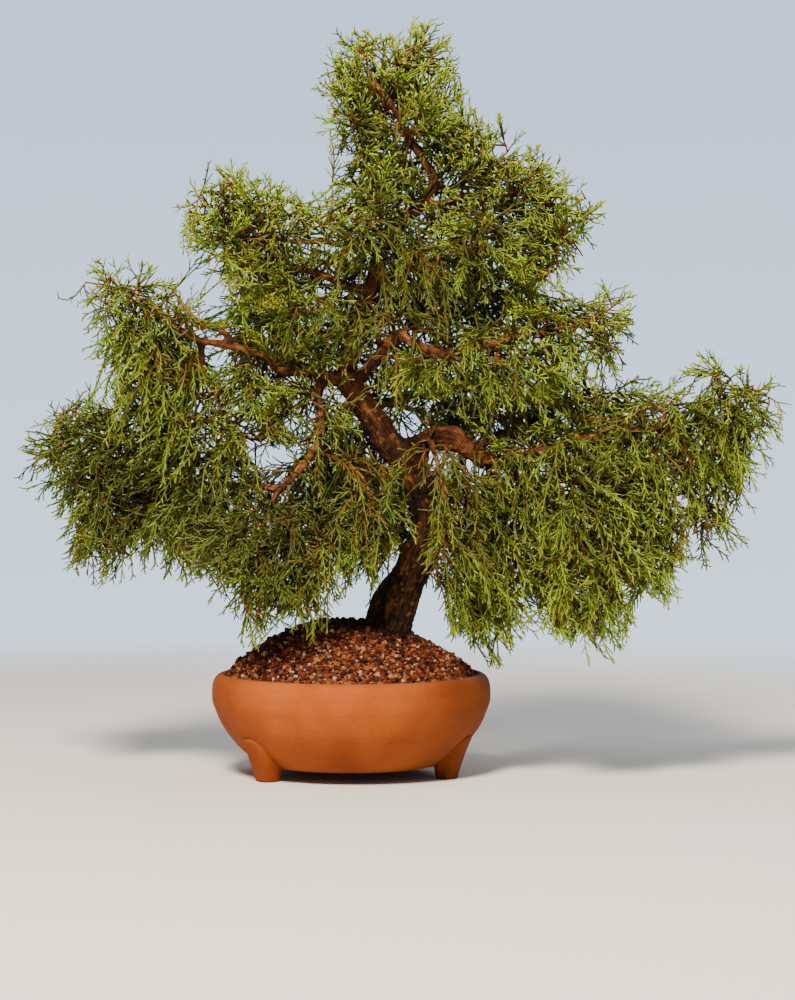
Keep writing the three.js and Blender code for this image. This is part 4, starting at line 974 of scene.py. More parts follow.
class BONSAI_OT_wood(bpy.types.Operator):
    """Builds the trunk and limbs as one grown piece with furrowed bark"""
    bl_idname = "bonsai.wood"
    bl_label = "Trunk and limbs"

    def execute(self, context):
        settings = context.scene.bonsai_wood
        points, faces, courses = [], [], []
        start = 0
        for seed, (name, rows) in enumerate(WOOD.items()):
            limb_points, triangles, course = limb_mesh(name, rows, seed)
            points.append(limb_points)
            faces.append(triangles + start)
            start += len(limb_points)
            courses.append(course)
        piece = add_object("juniper_wood", np.concatenate(points), np.concatenate(faces), {},
                           bark_material())
        grown = piece.modifiers.new("grown_together", "REMESH")
        grown.mode = "VOXEL"
        grown.voxel_size = settings.voxel
        grown.use_smooth_shade = True
        soften = piece.modifiers.new("softened", "SMOOTH")
        soften.factor = 0.5
        soften.iterations = 1
        self.apply(context, piece)
        self.furrow(piece, courses, settings.furrow / MM)
        finish_piece(piece, ["wood"])
        return {"FINISHED"}

    def apply(self, context, piece):
        """Puts the shape that the modifiers make in the piece's mesh."""
        graph = context.evaluated_depsgraph_get()
        mesh = bpy.data.meshes.new_from_object(piece.evaluated_get(graph))
        piece.modifiers.clear()
        old = piece.data
        piece.data = mesh
        bpy.data.meshes.remove(old)

    def furrow(self, piece, courses, depth):
        """Cuts fine furrows into the bark and writes its age, grain and painted shade for its material."""
        mesh = piece.data
        flat = np.empty(len(mesh.vertices) * 3, np.float32)
        mesh.vertices.foreach_get("co", flat)
        places = flat.reshape(-1, 3).astype(float) / MM - POT_AXIS
        mesh.vertices.foreach_get("normal", flat)
        normals = flat.reshape(-1, 3)
        course = Course(*(np.concatenate(parts) for parts in zip(*courses)))
        nearest = nearest_on(course, places)
        whose = np.repeat(np.arange(len(courses)), [len(each.run) for each in courses])[nearest]
        size = course.radii[nearest]
        away = places - course.places[nearest]
        along = course.run[nearest] + (away * course.slopes[nearest]).sum(1)
        sides = [(away * directions[nearest]).sum(1) for directions in (course.firsts, course.seconds)]
        angle = np.arctan2(sides[1], sides[0])
        grain = np.stack([sides[0] * FIBRES_ACROSS, sides[1] * FIBRES_ACROSS, along * FIBRES_ALONG], 1)
        # Each limb reads the patterns at a place of its own.
        grain += whose[:, None] * 17.0
        # Flakes are wider than fibres, and shorter.
        flakes = np.array([noise.fractal(Vector(spot), 0.8, 2.1, 4) for spot in grain * [0.28, 0.28, 1.1]])
        # Furrows are about 4 mm apart, and shallower on thin limbs.
        ridges = np.clip(np.rint(size * 1.5), 5, 24)
        phase = whose * 1.3 + 0.035 * along + 1.1 * np.sin(along * 0.03 + whose)
        cut = 0.35 * np.cos(ridges * angle + phase + 1.5 * flakes) + 1.1 * flakes
        amount = depth * cut * np.clip(size / 12, 0.12, 1)
        # Old limbs are gnarled: lumps about 15 mm apart where they have been pruned, lower on the trunk.
        gnarled = among(whose, GNARLED)
        lumps = np.array([noise.noise(Vector(spot / 15)) for spot in places])
        amount += np.where(gnarled, lumps * np.where(whose == TRUNK, 0.9, 2.4), 0)
        moved = places + normals * amount[:, None]
        mesh.vertices.foreach_set("co", in_metres(moved).astype(np.float32).ravel())
        mesh.update()
        # Painted shadow of a spiral groove: a dark band winds round the twisted limb, once in about 17 mm.
        band = np.clip(np.cos(angle + along * 0.36) * 3 - 2, 0, 0.8)
        set_attributes(mesh, {
            "age": self.age(places[:, 2], along, size, whose),
            "grain": grain,
            "band": np.where(among(whose, [TWISTED]), band, 0),
            # Painted shade in the furrows and in the dents of gnarled limbs.
            "groove": np.clip(0.15 - 0.8 * cut - np.where(gnarled, lumps, 0), 0, 1),
        })

    def age(self, height, along, size, whose):
        """How old the bark looks, from 0 at the foot to 1 on a twig."""
        ages = np.interp(height, AGE_HEIGHTS, AGES)
        # Away from the trunk the bark is the younger, the thinner the limb is.
        thin = np.clip(1 - (size - 2) / 14, 0, 1)
        leaving_trunk = np.clip(along / 45, 0, 1) ** 2
        ages = np.where(whose == TRUNK, ages, ages + (0.3 + 0.65 * thin - ages) * leaving_trunk)
        return np.where(among(whose, SURFACE_ROOTS), 0.04, ages)


# Foliage


def outline_distance(spots):
    """How far spots, as x and z seen from in front, lie inside the pruning line. Outside it is below 0."""
    line = np.array(CROWN, float)
    following = np.roll(line, -1, axis=0)
    edge = following - line
    result = []
    # Taken a few thousand at a time, the spots need little memory.
    for part in np.array_split(spots, max(1, len(spots) // 4000)):
        offset = part[:, None] - line[None]
        share = np.clip((offset * edge).sum(-1) / (edge * edge).sum(-1), 0, 1)
        distance = np.linalg.norm(offset - share[..., None] * edge, axis=-1).min(1)
        above = (line[None, :, 1] > part[:, None, 1]) != (following[None, :, 1] > part[:, None, 1])
        rise = np.where(np.abs(edge[:, 1]) < 1e-9, 1e-9, edge[:, 1])
        crossing = line[:, 0] + (part[:, 1:] - line[None, :, 1]) / rise * edge[:, 0]
        inside = (above & (part[:, :1] < crossing)).sum(1) % 2 == 1
        result.append(np.where(inside, distance, -distance))
    return np.concatenate(result)


def in_opening(spots, grow=1.0):
    """Whether spots lie in one of the crown's openings, each grown by a factor."""
    inside = np.zeros(len(spots), bool)
    for x, z, wide, high in OPENINGS:
        across = (spots[:, 0] - x) / (wide * grow)
        up = (spots[:, 1] - z) / (high * grow)
        inside |= across ** 2 + up ** 2 < 1
    return inside


def thinness(spots):
    """How much thinner the foliage is at spots than in the rest of its pad."""
    thin = np.zeros(len(spots))
    for x, z, wide, high, extra in SPARSE:
        near = ((spots[:, 0] - x) / wide) ** 2 + ((spots[:, 1] - z) / high) ** 2
        thin += extra * np.clip(1.3 - near, 0, 1)
    return thin


def mound_height(x, y):
    """The height of the grit's surface."""
    u, v = x / RIM_INSIDE, y / RIM_INSIDE
    lean = 1 + MOUND_LEAN[0] * u + MOUND_LEAN[1] * v
    return MOUND_SKIRT + MOUND_RISE * np.maximum(0, 1 - u * u - v * v) * lean


def clears_pot(points, room=4):
    """Whether places stay clear of the pot and of the grit."""
    out = np.hypot(points[:, 0], points[:, 1])
    outside = (out > BELLY + room) | (points[:, 2] > RIM_TOP + room)
    above = (out > RIM_INSIDE) | (points[:, 2] > mound_height(points[:, 0], points[:, 1]) + room)
    return outside & above


def within_depth(points, room=DEPTH_ROOM):
    """Whether places lie no deeper than the CAD model, nor in front of it, give or take some room."""
    depth = in_metres(points)[:, 1]
    return (depth > CAD_BOX[0][1] - room * MM) & (depth < CAD_BOX[1][1] + room * MM)


def hides_wood(places, draws):
    """Whether foliage at places would hide wood that shows in the crown; draws let a share of it do so."""
    spots = seen(places)
    hides = np.zeros(len(places), bool)
    for x0, z0, x1, z1, wide, kept in SHOWN_WOOD:
        start, edge = np.array([x0, z0]), np.array([x1 - x0, z1 - z0])
        share = np.clip(((spots - start) * edge).sum(-1) / edge.dot(edge), 0, 1)
        near = np.linalg.norm(spots - start - share[:, None] * edge, axis=-1) < wide
        hides |= near & (draws > kept) & (places[:, 1] < SHOWN_DEPTH)
    return hides


def habit_of(pads, field):
    """One value of the habits of pads of foliage, which are given by their numbers."""
    return np.array([getattr(HABITS[group], field) for group in GROUPS])[pads]


def leaving(along, direction):
    """The way a side shoot leaves what carries it: well to the side, then a little onward."""
    onward = 0.5 if direction.dot(along) > 0 else -0.5
    side = direction + np.array([0, 0, 0.3])
    side = unit(side - along * side.dot(along))
    return unit(side + along * onward)


def stem_controls(root, direction, tip, shift):
    """The curve of a stem from its root to its tip, which is shifted in depth and hangs or levels out."""
    end = tip + np.array([0, shift, 0])
    reach = np.linalg.norm(end - root) * 0.35
    fall = -0.45 if end[2] < root[2] + 12 else 0.25
    arrive = unit(unit(end - root) + np.array([0, 0, fall]))
    bend = root + direction * reach + np.array([0, shift / 2, 0])
    return np.array([root, bend, end - arrive * reach, end])


def shortened(controls, cut):
    """The same cubic curve, ended a given length before its tip."""
    share = 1 - cut / lengths_of(controls)
    kept = [controls[0]]
    row = controls
    while len(row) > 1:
        row = row[:-1] + (row[1:] - row[:-1]) * share
        kept.append(row[0])
    return np.array(kept)


def hanging_by(habit):
    """How far the strands of a pad hang below the twigs, as x and z."""
    sweep = math.radians(habit.sweep)
    return habit.hang * 0.6 * habit.reach * np.array([math.sin(sweep), -math.cos(sweep)])


class Growth:
    """The growing twigs: points to which new twigs may be joined, and the twigs' curves."""

    def __init__(self, rng):
        self.rng = rng
        self.count = 0
        self.places = np.zeros((JOINTS, 3))
        self.slopes = np.zeros((JOINTS, 3))
        self.pads = np.full(JOINTS, -1)
        self.girths = np.zeros(JOINTS)
        self.curves, self.radii, self.owners, self.levels = [], [], [], []

    def add_points(self, places, slopes, pad, girths):
        """Adds points to which twigs may be joined."""
        end = self.count + len(places)
        self.places[self.count:end] = places
        self.slopes[self.count:end] = slopes
        self.pads[self.count:end] = pad
        self.girths[self.count:end] = girths
        self.count = end

    def add_twig(self, controls, radius, pad, level):
        """Adds a twig's curve. Its level is 0 if it is one of the CAD model's own stems, else 1."""
        self.curves.append(controls)
        self.radii.append(radius)
        self.owners.append(pad)
        self.levels.append(level)
        shares = np.linspace(0, 1, max(2, int(lengths_of(controls) / JOINT_PITCH)) + 1)[1:]
        places, slopes = bezier(controls[None], shares[None])
        self.add_points(places[0], slopes[0], pad, radius * 0.8)

    def add_limbs(self, lines):
        """Adds the limbs, which belong to no pad yet."""
        for places, radii, slopes, _ in lines.values():
            self.add_points(places, slopes, -1, radii)

    def add_stems(self, lines):
        """The CAD model's own leafy stems, each set to the depth at which its solid lies."""
        for pad, (group, rows) in enumerate(SPRAYS.items()):
            for number, (limb, share, *tips) in enumerate(rows, 1):
                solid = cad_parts[f"spray_{group}_{number}"].data
                corners = np.array([vert.co[:] for vert in solid.vertices]) / MM - POT_AXIS
                tips = place(np.array(tips))
                shifts = [
                    min(DEPTH_SHIFTS, key=lambda s: np.linalg.norm(corners - tip - [0, s, 0], axis=1).min())
                    for tip in tips]
                main = self.add_stem(lines[limb], share, tips[0], shifts[0], pad)
                for at, tip, shift in zip(FORKS_AT, tips[1:], shifts[1:]):
                    self.add_fork(main, at, tip, shift, pad)

    def add_stem(self, line, share, tip, shift, pad):
        """A stem from a limb: onward from the limb's end, or to the side from anywhere else on it."""
        places, radii, slopes, _ = line
        at = min(int(round(share * (len(places) - 1))), len(places) - 1)
        toward = unit(tip - places[at])
        direction = unit(toward + slopes[at]) if share == 1 else leaving(slopes[at], toward)
        root = places[at] + direction * radii[at] * 0.6
        main = stem_controls(root, direction, tip, shift)
        self.add_twig(shortened(main, STRAND_REACH), STEM_RADIUS, pad, 0)
        return main

    def add_fork(self, main, at, tip, shift, pad):
        """A stem that forks from another, at a share of it."""
        places, slopes = bezier(main[None], np.array([[at]]))
        root, slope = places[0, 0], slopes[0, 0]
        direction = leaving(slope, unit(tip - root))
        fork = stem_controls(root, direction, tip, shift)
        self.add_twig(shortened(fork, STRAND_REACH), FORK_RADIUS, pad, 0)

    def name_limbs(self):
        """Gives each point on a limb the pad of the leafy stem nearest to it."""
        known = np.flatnonzero(self.pads[:self.count] >= 0)
        for index in np.flatnonzero(self.pads[:self.count] < 0):
            gap = np.linalg.norm(self.places[known] - self.places[index], axis=1)
            self.pads[index] = self.pads[known[gap.argmin()]]

    def targets(self, pitch):
        """Spots that the twigs have to reach, layer behind layer, in the crown's outline and behind it."""
        rng = self.rng
        columns = np.arange(*CROWN_WIDTH, pitch)
        rows = np.arange(*CROWN_HEIGHT, pitch)
        grid = np.stack(np.meshgrid(columns, rows), -1).reshape(-1, 2)
        stems = np.flatnonzero(self.girths[:self.count] < THIN_LIMB)
        stem_spots = seen(self.places[stems])
        found = []
        for layer in (-1, 0, 1):
            spots = grid + rng.uniform(-0.5, 0.5, grid.shape) * pitch
            spots = spots[outline_distance(spots) > TWIG_MARGIN]
            spots = spots[~in_opening(spots, 1.15)]
            spots = spots[rng.uniform(0, 1, len(spots)) > 1.2 * thinness(spots)]
            hung = [outline_distance(spots + hanging_by(HABITS[group])) > -4 for group in GROUPS]
            for number, spot in enumerate(spots):
                nearest = stems[np.linalg.norm(stem_spots - spot, axis=1).argmin()]
                # A spot from which strands would hang out of the crown is left to the strands from above.
                if not hung[self.pads[nearest]][number]:
                    continue
                depth = self.places[nearest][1]
                depth += layer * rng.uniform(*LAYER_DEPTHS) + rng.uniform(-5, 5)
                found.append(place(np.array([spot[0], spot[1], depth])))
        behind = (self.places[:self.count, 1] > BEHIND) & (self.girths[:self.count] < 1.4)
        for index in np.flatnonzero(behind):
            for _ in range(3):
                found.append(self.places[index] + rng.normal(0, 15, 3))
        found = np.array(found)
        keep = (outline_distance(seen(found)) > BEHIND_MARGIN) & clears_pot(found, 12)
        keep &= (found[:, 1] > TWIG_DEPTHS[0]) & (found[:, 1] < TWIG_DEPTHS[1])
        return found[keep]

    def fill(self, pitch):
        """Joins each spot, nearest first, to the best point that already grows."""
        spots = self.targets(pitch)
        first = [np.linalg.norm(self.places[:self.count] - spot, axis=1).min() for spot in spots]
        for spot in spots[np.argsort(first)]:
            away = spot - self.places[:self.count]
            gap = np.linalg.norm(away, axis=1)
            room = gap - self.girths[:self.count]
            if room.min() < TWIG_GAP:
                continue
            direction = away / gap[:, None]
            hang = HABITS[GROUPS[self.pads[gap.argmin()]]].hang
            turn = 1 - (direction * self.slopes[:self.count]).sum(1)
            # Twigs would rather not turn back, nor climb where the foliage hangs.
            cost = gap * (1 + 0.3 * turn + 0.8 * hang * np.clip(direction[:, 2], 0, 1))
            best = int(cost.argmin())
            if gap[best] > TWIG_LONGEST:
                continue
            toward = direction[best]
            start = unit(0.5 * self.slopes[best] + 0.7 * toward + np.array([0, 0, 0.25 * (1 - toward[2])]))
            end = unit(toward + np.array([0, 0, 0.25 - 0.9 * hang]))
            reach = gap[best] * 0.36
            root = self.places[best]
            controls = np.array([root, root + start * reach, spot - end * reach, spot])
            self.add_twig(controls, TWIG_RADIUS, self.pads[best], 1)


def stations_on(lengths, start, end, pitch):
    """Evenly spaced stations on curves of given lengths: which curve, and the share along it."""
    index, share = [], []
    for number, length in enumerate(lengths):
        at = np.arange(start, length - end, pitch)
        index.append(np.full(len(at), number))
        share.append(at / length)
    return np.concatenate(index), np.concatenate(share)


def side_directions(slopes, turn):
    """A direction square to each slope, turned round it by an angle."""
    helper = np.where(np.abs(slopes[:, 2:]) > 0.85, [[1.0, 0.0, 0.0]], [[0.0, 0.0, 1.0]])
    first = unit(np.cross(slopes, helper))
    return np.cos(turn)[:, None] * first + np.sin(turn)[:, None] * np.cross(slopes, first)


def leaning(slopes, side, lean):
    """Directions that lean from slopes towards a side by an angle."""
    return np.cos(lean)[:, None] * slopes + np.sin(lean)[:, None] * side


def swept(roots, start, end, reach):
    """Curves that leave in one direction and arrive in another."""
    reach = reach[:, None]
    tips = roots + (start * 0.5 + end * 0.5) * reach
    return np.stack([roots, roots + start * reach * 0.42, tips - end * reach * 0.42, tips], 1)


def in_tress(places, sweep, gaps):
    """Whether places lie in the tresses into which the strands gather, rather than in the gaps between."""
    spots = seen(places)
    across = spots[:, 0] * np.cos(sweep) + spots[:, 1] * np.sin(sweep)
    along = spots[:, 1] * np.cos(sweep) - spots[:, 0] * np.sin(sweep)
    pattern = np.stack([across, along, places[:, 1]], -1) / TRESS_SIZE
    wave = np.array([noise.noise(Vector(spot)) for spot in pattern])
    depth_inside = np.minimum(outline_distance(spots), outline_distance(spots - [0, 22]) + 12)
    # The wave runs from about -0.6 to 0.6, and half of it lies above 0.
    level = np.interp(depth_inside, [-6, 10, 40], [0.02, -0.06, -1.0])
    level = np.maximum(level, gaps - 0.55) + thinness(spots)
    return wave > level


def strands_of(growth, pitch):
    """Leafy strands along every twig and at its tip, pruned to the crown: curves, pads and lengths."""
    rng = growth.rng
    curves = np.array(growth.curves)
    index, share = stations_on(lengths_of(curves), *STRAND_STRETCH, pitch)
    ends = np.repeat(np.arange(len(curves)), 2)
    index = np.concatenate([index, ends])
    share = np.concatenate([share, np.ones(len(ends))])
    roots, slopes = on_curves(curves, index, share)
    count = len(index)
    pads = np.array(growth.owners)[index]
    side = side_directions(slopes, np.arange(count) * SHOOT_TURN + rng.uniform(-0.5, 0.5, count))
    lean = np.where(share >= 1, rng.uniform(*END_LEANS, count), rng.uniform(*SIDE_LEANS, count))
    # The tops of the pads stand up and their undersides hang.
    headroom = outline_distance(seen(roots) + [0, 26])
    hang = habit_of(pads, "hang") * np.clip(0.35 + headroom / 45, 0.1, 1)
    sweep = np.radians(habit_of(pads, "sweep"))
    start = leaning(slopes, side, lean)
    start[:, 2] += 0.35 - 0.5 * hang
    start = unit(start)
    # The strands of one twig bend together, and each a little by itself.
    bend = rng.normal(0, 0.3, (len(curves), 3))[index] + rng.normal(0, 0.1, (count, 3))
    end = start * rng.uniform(0.6, 1.1, count)[:, None] + bend
    end[:, 0] += 1.5 * hang * np.sin(sweep)
    end[:, 2] += 0.6 - 1.85 * hang * np.cos(sweep)
    end = unit(end)
    full = habit_of(pads, "reach") * rng.uniform(*STRAND_SHARES, count)
    full *= 1 + 0.6 * thinness(seen(roots))
    draws = rng.uniform(0, 1, count)
    ragged = rng.uniform(-9, 1, count) + rng.uniform(0, 1, count) ** 2 * (6 + 20 * hang)
    # A strand that doesn't fit at its full length may fit at a part of it.
    size = np.zeros(count)
    for scale in PRUNED_SHARES:
        left = np.flatnonzero(size == 0)
        tried = swept(roots[left], start[left], end[left], full[left] * scale)
        tips = tried[:, 3]
        middles = bezier(tried, np.full((len(left), 1), 0.5))[0][:, 0]
        fits = outline_distance(seen(tips)) > ragged[left]
        fits &= ~in_opening(seen(tips)) & ~in_opening(seen(middles), 0.9)
        fits &= clears_pot(tips) & clears_pot(middles) & within_depth(tips)
        fits &= ~hides_wood(tips, draws[left]) & ~hides_wood(middles, draws[left])
        fits &= in_tress(tips, sweep[left], habit_of(pads[left], "gaps"))
        size[left[fits]] = scale
    kept = np.flatnonzero(size > 0)
    reach = full[kept] * size[kept]
    return swept(roots[kept], start[kept], end[kept], reach), pads[kept], reach


def cords_of(strands, reach, rng):
    """Short cords on both sides of every strand, and which strand and share of it each belongs to."""
    index, share = stations_on(reach, *CORD_STATIONS)
    length = (15 - 6.5 * share) * rng.uniform(0.55, 1.2, len(index))
    return beside(strands, index, share, length, CORD_LEANS, rng)


def fans_of(strands, reach, rng):
    """The young cords that fork from the tip of every strand."""
    index = np.repeat(np.arange(len(reach)), len(FAN_BACK))
    share = 1 - np.tile(FAN_BACK, len(reach)) / reach[index]
    return beside(strands, index, share, rng.uniform(*FAN_LENGTHS, len(index)), FAN_LEANS, rng)


def beside(strands, index, share, length, leans, rng):
    """Straight cords that leave strands by turns to one side and the other."""
    roots, slopes = on_curves(strands, index, share)
    count = len(index)
    facing = unit(rng.normal(0, 0.75, (len(strands), 3)) + [0.0, -0.6, 0.5])
    side = unit(np.cross(slopes, facing[index] + rng.normal(0, 0.25, (count, 3))))
    side *= np.where(np.arange(count) % 2, 1.0, -1.0)[:, None]
    direction = leaning(slopes, side, rng.uniform(*leans, count))
    controls = swept(roots, direction, direction, length)
    tips = controls[:, 3]
    kept = (outline_distance(seen(tips)) > -7) & clears_pot(tips, 1.5) & within_depth(tips, 2 * DEPTH_ROOM)
    return controls[kept], index[kept], share[kept]


def old_cords_of(growth):
    """Old dark cords close round the twigs, which shut out the light inside the pads."""
    rng = growth.rng
    curves = np.array(growth.curves)
    index, share = stations_on(lengths_of(curves), *OLD_CORD_STATIONS)
    roots, slopes = on_curves(curves, index, share)
    count = len(index)
    side = side_directions(slopes, np.arange(count) * SHOOT_TURN + 1.2 + rng.uniform(-0.6, 0.6, count))
    direction = leaning(slopes, side, rng.uniform(*OLD_CORD_LEANS, count))
    # They lean to the back, where they don't show before the green.
    direction[:, 1] += 0.35
    direction = unit(direction)
    controls = swept(roots, direction, direction, rng.uniform(*OLD_CORD_LENGTHS, count))
    tips = controls[:, 3]
    draws = rng.uniform(0, 1, count)
    spots = seen(tips)
    kept = (outline_distance(spots) > 26) & (outline_distance(spots - [0, 26]) > 8)
    kept &= ~in_opening(spots, 1.1) & clears_pot(tips) & ~hides_wood(tips, draws) & within_depth(tips)
    return controls[kept], np.array(growth.owners)[index][kept]


def shoots(template, controls, radii, taper, young, woody):
    """Columns laid on curves: points, triangles, youth and woodiness. Taper, youth and woodiness are each a
    value at the start, for all shoots or each, and a rise towards the tip."""
    points, faces, shares = laid(template, controls, radii, taper)
    each = len(template[0])
    values = [np.clip(np.repeat(np.broadcast_to(start, len(controls)), each) + rise * shares, 0, 1)
              for start, rise in (young, woody)]
    return points, faces, *values


class BONSAI_OT_foliage(bpy.types.Operator):
    """Grows the hanging foliage pad by pad, on the leafy stems of the CAD model"""
    bl_idname = "bonsai.foliage"
    bl_label = "Foliage"

    def execute(self, context):
        settings = context.scene.bonsai_foliage
        rng = np.random.default_rng(FOLIAGE_SEED)
        lines = {name: limb_line(points, GROWTH_STEP) for name, points in LIMBS.items()}
        growth = Growth(rng)
        growth.add_limbs(lines)
        growth.add_stems(lines)
        growth.name_limbs()
        growth.fill(settings.pitch / MM)
        twigs = np.array(growth.curves)
        girths = np.array(growth.radii)
        # Twigs are bare at their start; the CAD model's own stems stay bare for longer.
        bareness = np.where(np.array(growth.levels) == 0, 1.4, 1.1)
        strands, strand_pads, reach = strands_of(growth, settings.strand_pitch / MM)
        cords, cord_strands, cord_shares = cords_of(strands, reach, rng)
        fans, fan_strands, _ = fans_of(strands, reach, rng)
        old_cords, old_pads = old_cords_of(growth)
        # Painted shade, partly older foliage: strands with tips deep inside the crown are darker.
        outer = np.clip(1 - outline_distance(seen(strands[:, 3])) / 60, 0, 1)
        # Painted light and shade: high and front pads are lighter, low, inner and back pads darker.
        tone = 0.12 + 0.4 * habit_of(strand_pads, "bright") + 0.2 * outer
        tone += np.clip(rng.normal(0, 0.12, len(strands)), -0.3, 0.3)
        dry = rng.uniform(0, 1, len(strands)) < habit_of(strand_pads, "dry")
        dry = dry * rng.uniform(0.2, 0.55, len(strands))
        cord_tone = tone[cord_strands] + 0.12 * cord_shares - 0.04
        radius = settings.cord / MM
        twig_shape, strand_shape, cord_shape = column(3, 3), column(3, 4, True), column(3, 1)
        material = foliage_material(settings)
        for pad, group in enumerate(GROUPS):
            twig, strand, cord, fan, old = (np.flatnonzero(whose == pad) for whose in (
                np.array(growth.owners), strand_pads, strand_pads[cord_strands], strand_pads[fan_strands],
                old_pads))
            fan_radii = radius * rng.uniform(0.85, 1.05, len(fan))
            cord_radii = radius * rng.uniform(0.8, 1.0, len(cord))
            parts = [
                shoots(twig_shape, twigs[twig], girths[twig], (1, -0.4),
                       (0.2, 0.1), (bareness[twig], -0.8)),
                shoots(strand_shape, strands[strand], np.full(len(strand), radius), (1.05, -0.25),
                       (tone[strand] - 0.1, 0.28), (dry[strand] + 0.28, -1.0)),
                shoots(cord_shape, fans[fan], fan_radii, (1, -0.2),
                       (tone[fan_strands[fan]] + 0.26, 0.16), (dry[fan_strands[fan]] - 0.3, 0)),
                shoots(cord_shape, cords[cord], cord_radii, (1, -0.22),
                       (cord_tone[cord], 0.24), (dry[cord_strands[cord]], -0.1)),
                shoots(cord_shape, old_cords[old], np.full(len(old), radius * 1.5), (1, -0.3),
                       (rng.uniform(0, 0.22, len(old)), 0.05), (rng.uniform(0, 0.25, len(old)), 0)),
            ]
            starts = np.cumsum([0] + [len(part[0]) for part in parts])
            triangles = [part[1] + start for part, start in zip(parts, starts)]
            points, young, woody = (np.concatenate([part[k] for part in parts]) for k in (0, 2, 3))
            piece = add_object(f"foliage_{group}", points, np.concatenate(triangles),
                               {"young": young, "woody": woody}, material)
            finish_piece(piece, [f"spray_{group}_{k + 1}" for k in range(len(SPRAYS[group]))])
        return {"FINISHED"}


# Pot, screen and grit


def spun(profile, segments):
    """A closed profile of radius and height, spun round the pot's axis into a bmesh."""
    bm = bmesh.new()
    verts = [bm.verts.new((radius, 0, height)) for radius, height in profile]
    edges = [bm.edges.new(pair) for pair in zip(verts, verts[1:] + verts[:1])]
    bmesh.ops.spin(bm, geom=verts + edges, cent=(0, 0, 0), axis=(0, 0, 1), angle=2 * math.pi,
                   steps=segments, use_merge=True, use_duplicate=False)
    bmesh.ops.remove_doubles(bm, verts=bm.verts, dist=1e-4)
    bmesh.ops.recalc_face_normals(bm, faces=bm.faces)
    return bm


def smoothed(profile, steps):
    """A smooth line through a profile's points, with this many steps from each to the next."""
    rows = np.array(profile, float)
    ends = np.concatenate([[2 * rows[0] - rows[1]], rows, [2 * rows[-1] - rows[-2]]])
    line = []
    for i in range(len(rows) - 1):
        p0, p1, p2, p3 = ends[i:i + 4]
        for t in np.arange(steps) / steps:
            line.append(0.5 * (2 * p1 + (p2 - p0) * t + (2 * p0 - 5 * p1 + 4 * p2 - p3) * t * t
                               + (3 * p1 - p0 - 3 * p2 + p3) * t ** 3))
    return [*line, rows[-1]]


class BONSAI_OT_pot(bpy.types.Operator):
    """Throws the terracotta pot and sets its three tongue-shaped feet"""
    bl_idname = "bonsai.pot"
    bl_label = "Pot"

    def execute(self, context):
        settings = context.scene.bonsai_pot
        drain = [(DRAIN_RADIUS, POT_INSIDE[-1][1]), (DRAIN_RADIUS, POT_OUTSIDE[0][1])]
        bm = spun(smoothed(POT_OUTSIDE, 3) + smoothed(POT_INSIDE, 2) + drain, settings.segments)
        self.bend(bm)
        for degrees in FOOT_ANGLES:
            self.add_foot(bm, math.radians(degrees))
        bmesh.ops.triangulate(bm, faces=[face for face in bm.faces if len(face.verts) > 4])
        bmesh.ops.scale(bm, vec=(MM, MM, MM), verts=bm.verts)
        bmesh.ops.translate(bm, vec=Vector(POT_AXIS * MM), verts=bm.verts)
        piece = object_of(bm, "terracotta_pot", terracotta_material(settings))
        finish_piece(piece, ["pot"])
        return {"FINISHED"}

    def bend(self, bm):
        """Hands and wheel leave a thrown pot a fraction of a millimetre off true."""
        for vert in bm.verts:
            angle = math.atan2(vert.co.y, vert.co.x)
            out = math.hypot(vert.co.x, vert.co.y)
            if out > 30:
                off = 0.35 * math.cos(2 * angle + 0.6) + 0.25 * math.cos(3 * angle + vert.co.z * 0.03)
                vert.co.x *= 1 + off / out
                vert.co.y *= 1 + off / out

    def add_foot(self, bm, angle):
        """A tongue of clay that stands proud of the wall and tapers to a small pad on the ground."""
        foot = bmesh.new()
        bmesh.ops.create_cone(foot, cap_ends=True, segments=32, radius1=1, radius2=1, depth=1)
        bmesh.ops.subdivide_edges(foot, edges=upright_edges(foot), cuts=len(FOOT_ROWS) * 2 - 3,
                                  use_grid_fill=True)
        last = len(FOOT_ROWS) - 1
        turn = np.array([[math.cos(angle), -math.sin(angle)], [math.sin(angle), math.cos(angle)]])
        for vert in foot.verts:
            at = (vert.co.z + 0.5) * last
            height, distance, deep, wide = (np.interp(at, range(last + 1), row) for row in zip(*FOOT_ROWS))
            x, y = (math.copysign(abs(side) ** FOOT_SQUARENESS, side) for side in vert.co.xy)
            vert.co = (*(turn @ np.array([distance + deep * x, wide * y])), height)
        mesh = bpy.data.meshes.new("foot")
        foot.to_mesh(mesh)
        foot.free()
        bm.from_mesh(mesh)
        bpy.data.meshes.remove(mesh)


class BONSAI_OT_screen(bpy.types.Operator):
    """Gives the mesh over the drainage hole its moulded plastic"""
    bl_idname = "bonsai.screen"
    bl_label = "Drainage screen"

    def execute(self, context):
        dress(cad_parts["drainage_screen"], screen_material())
        return {"FINISHED"}


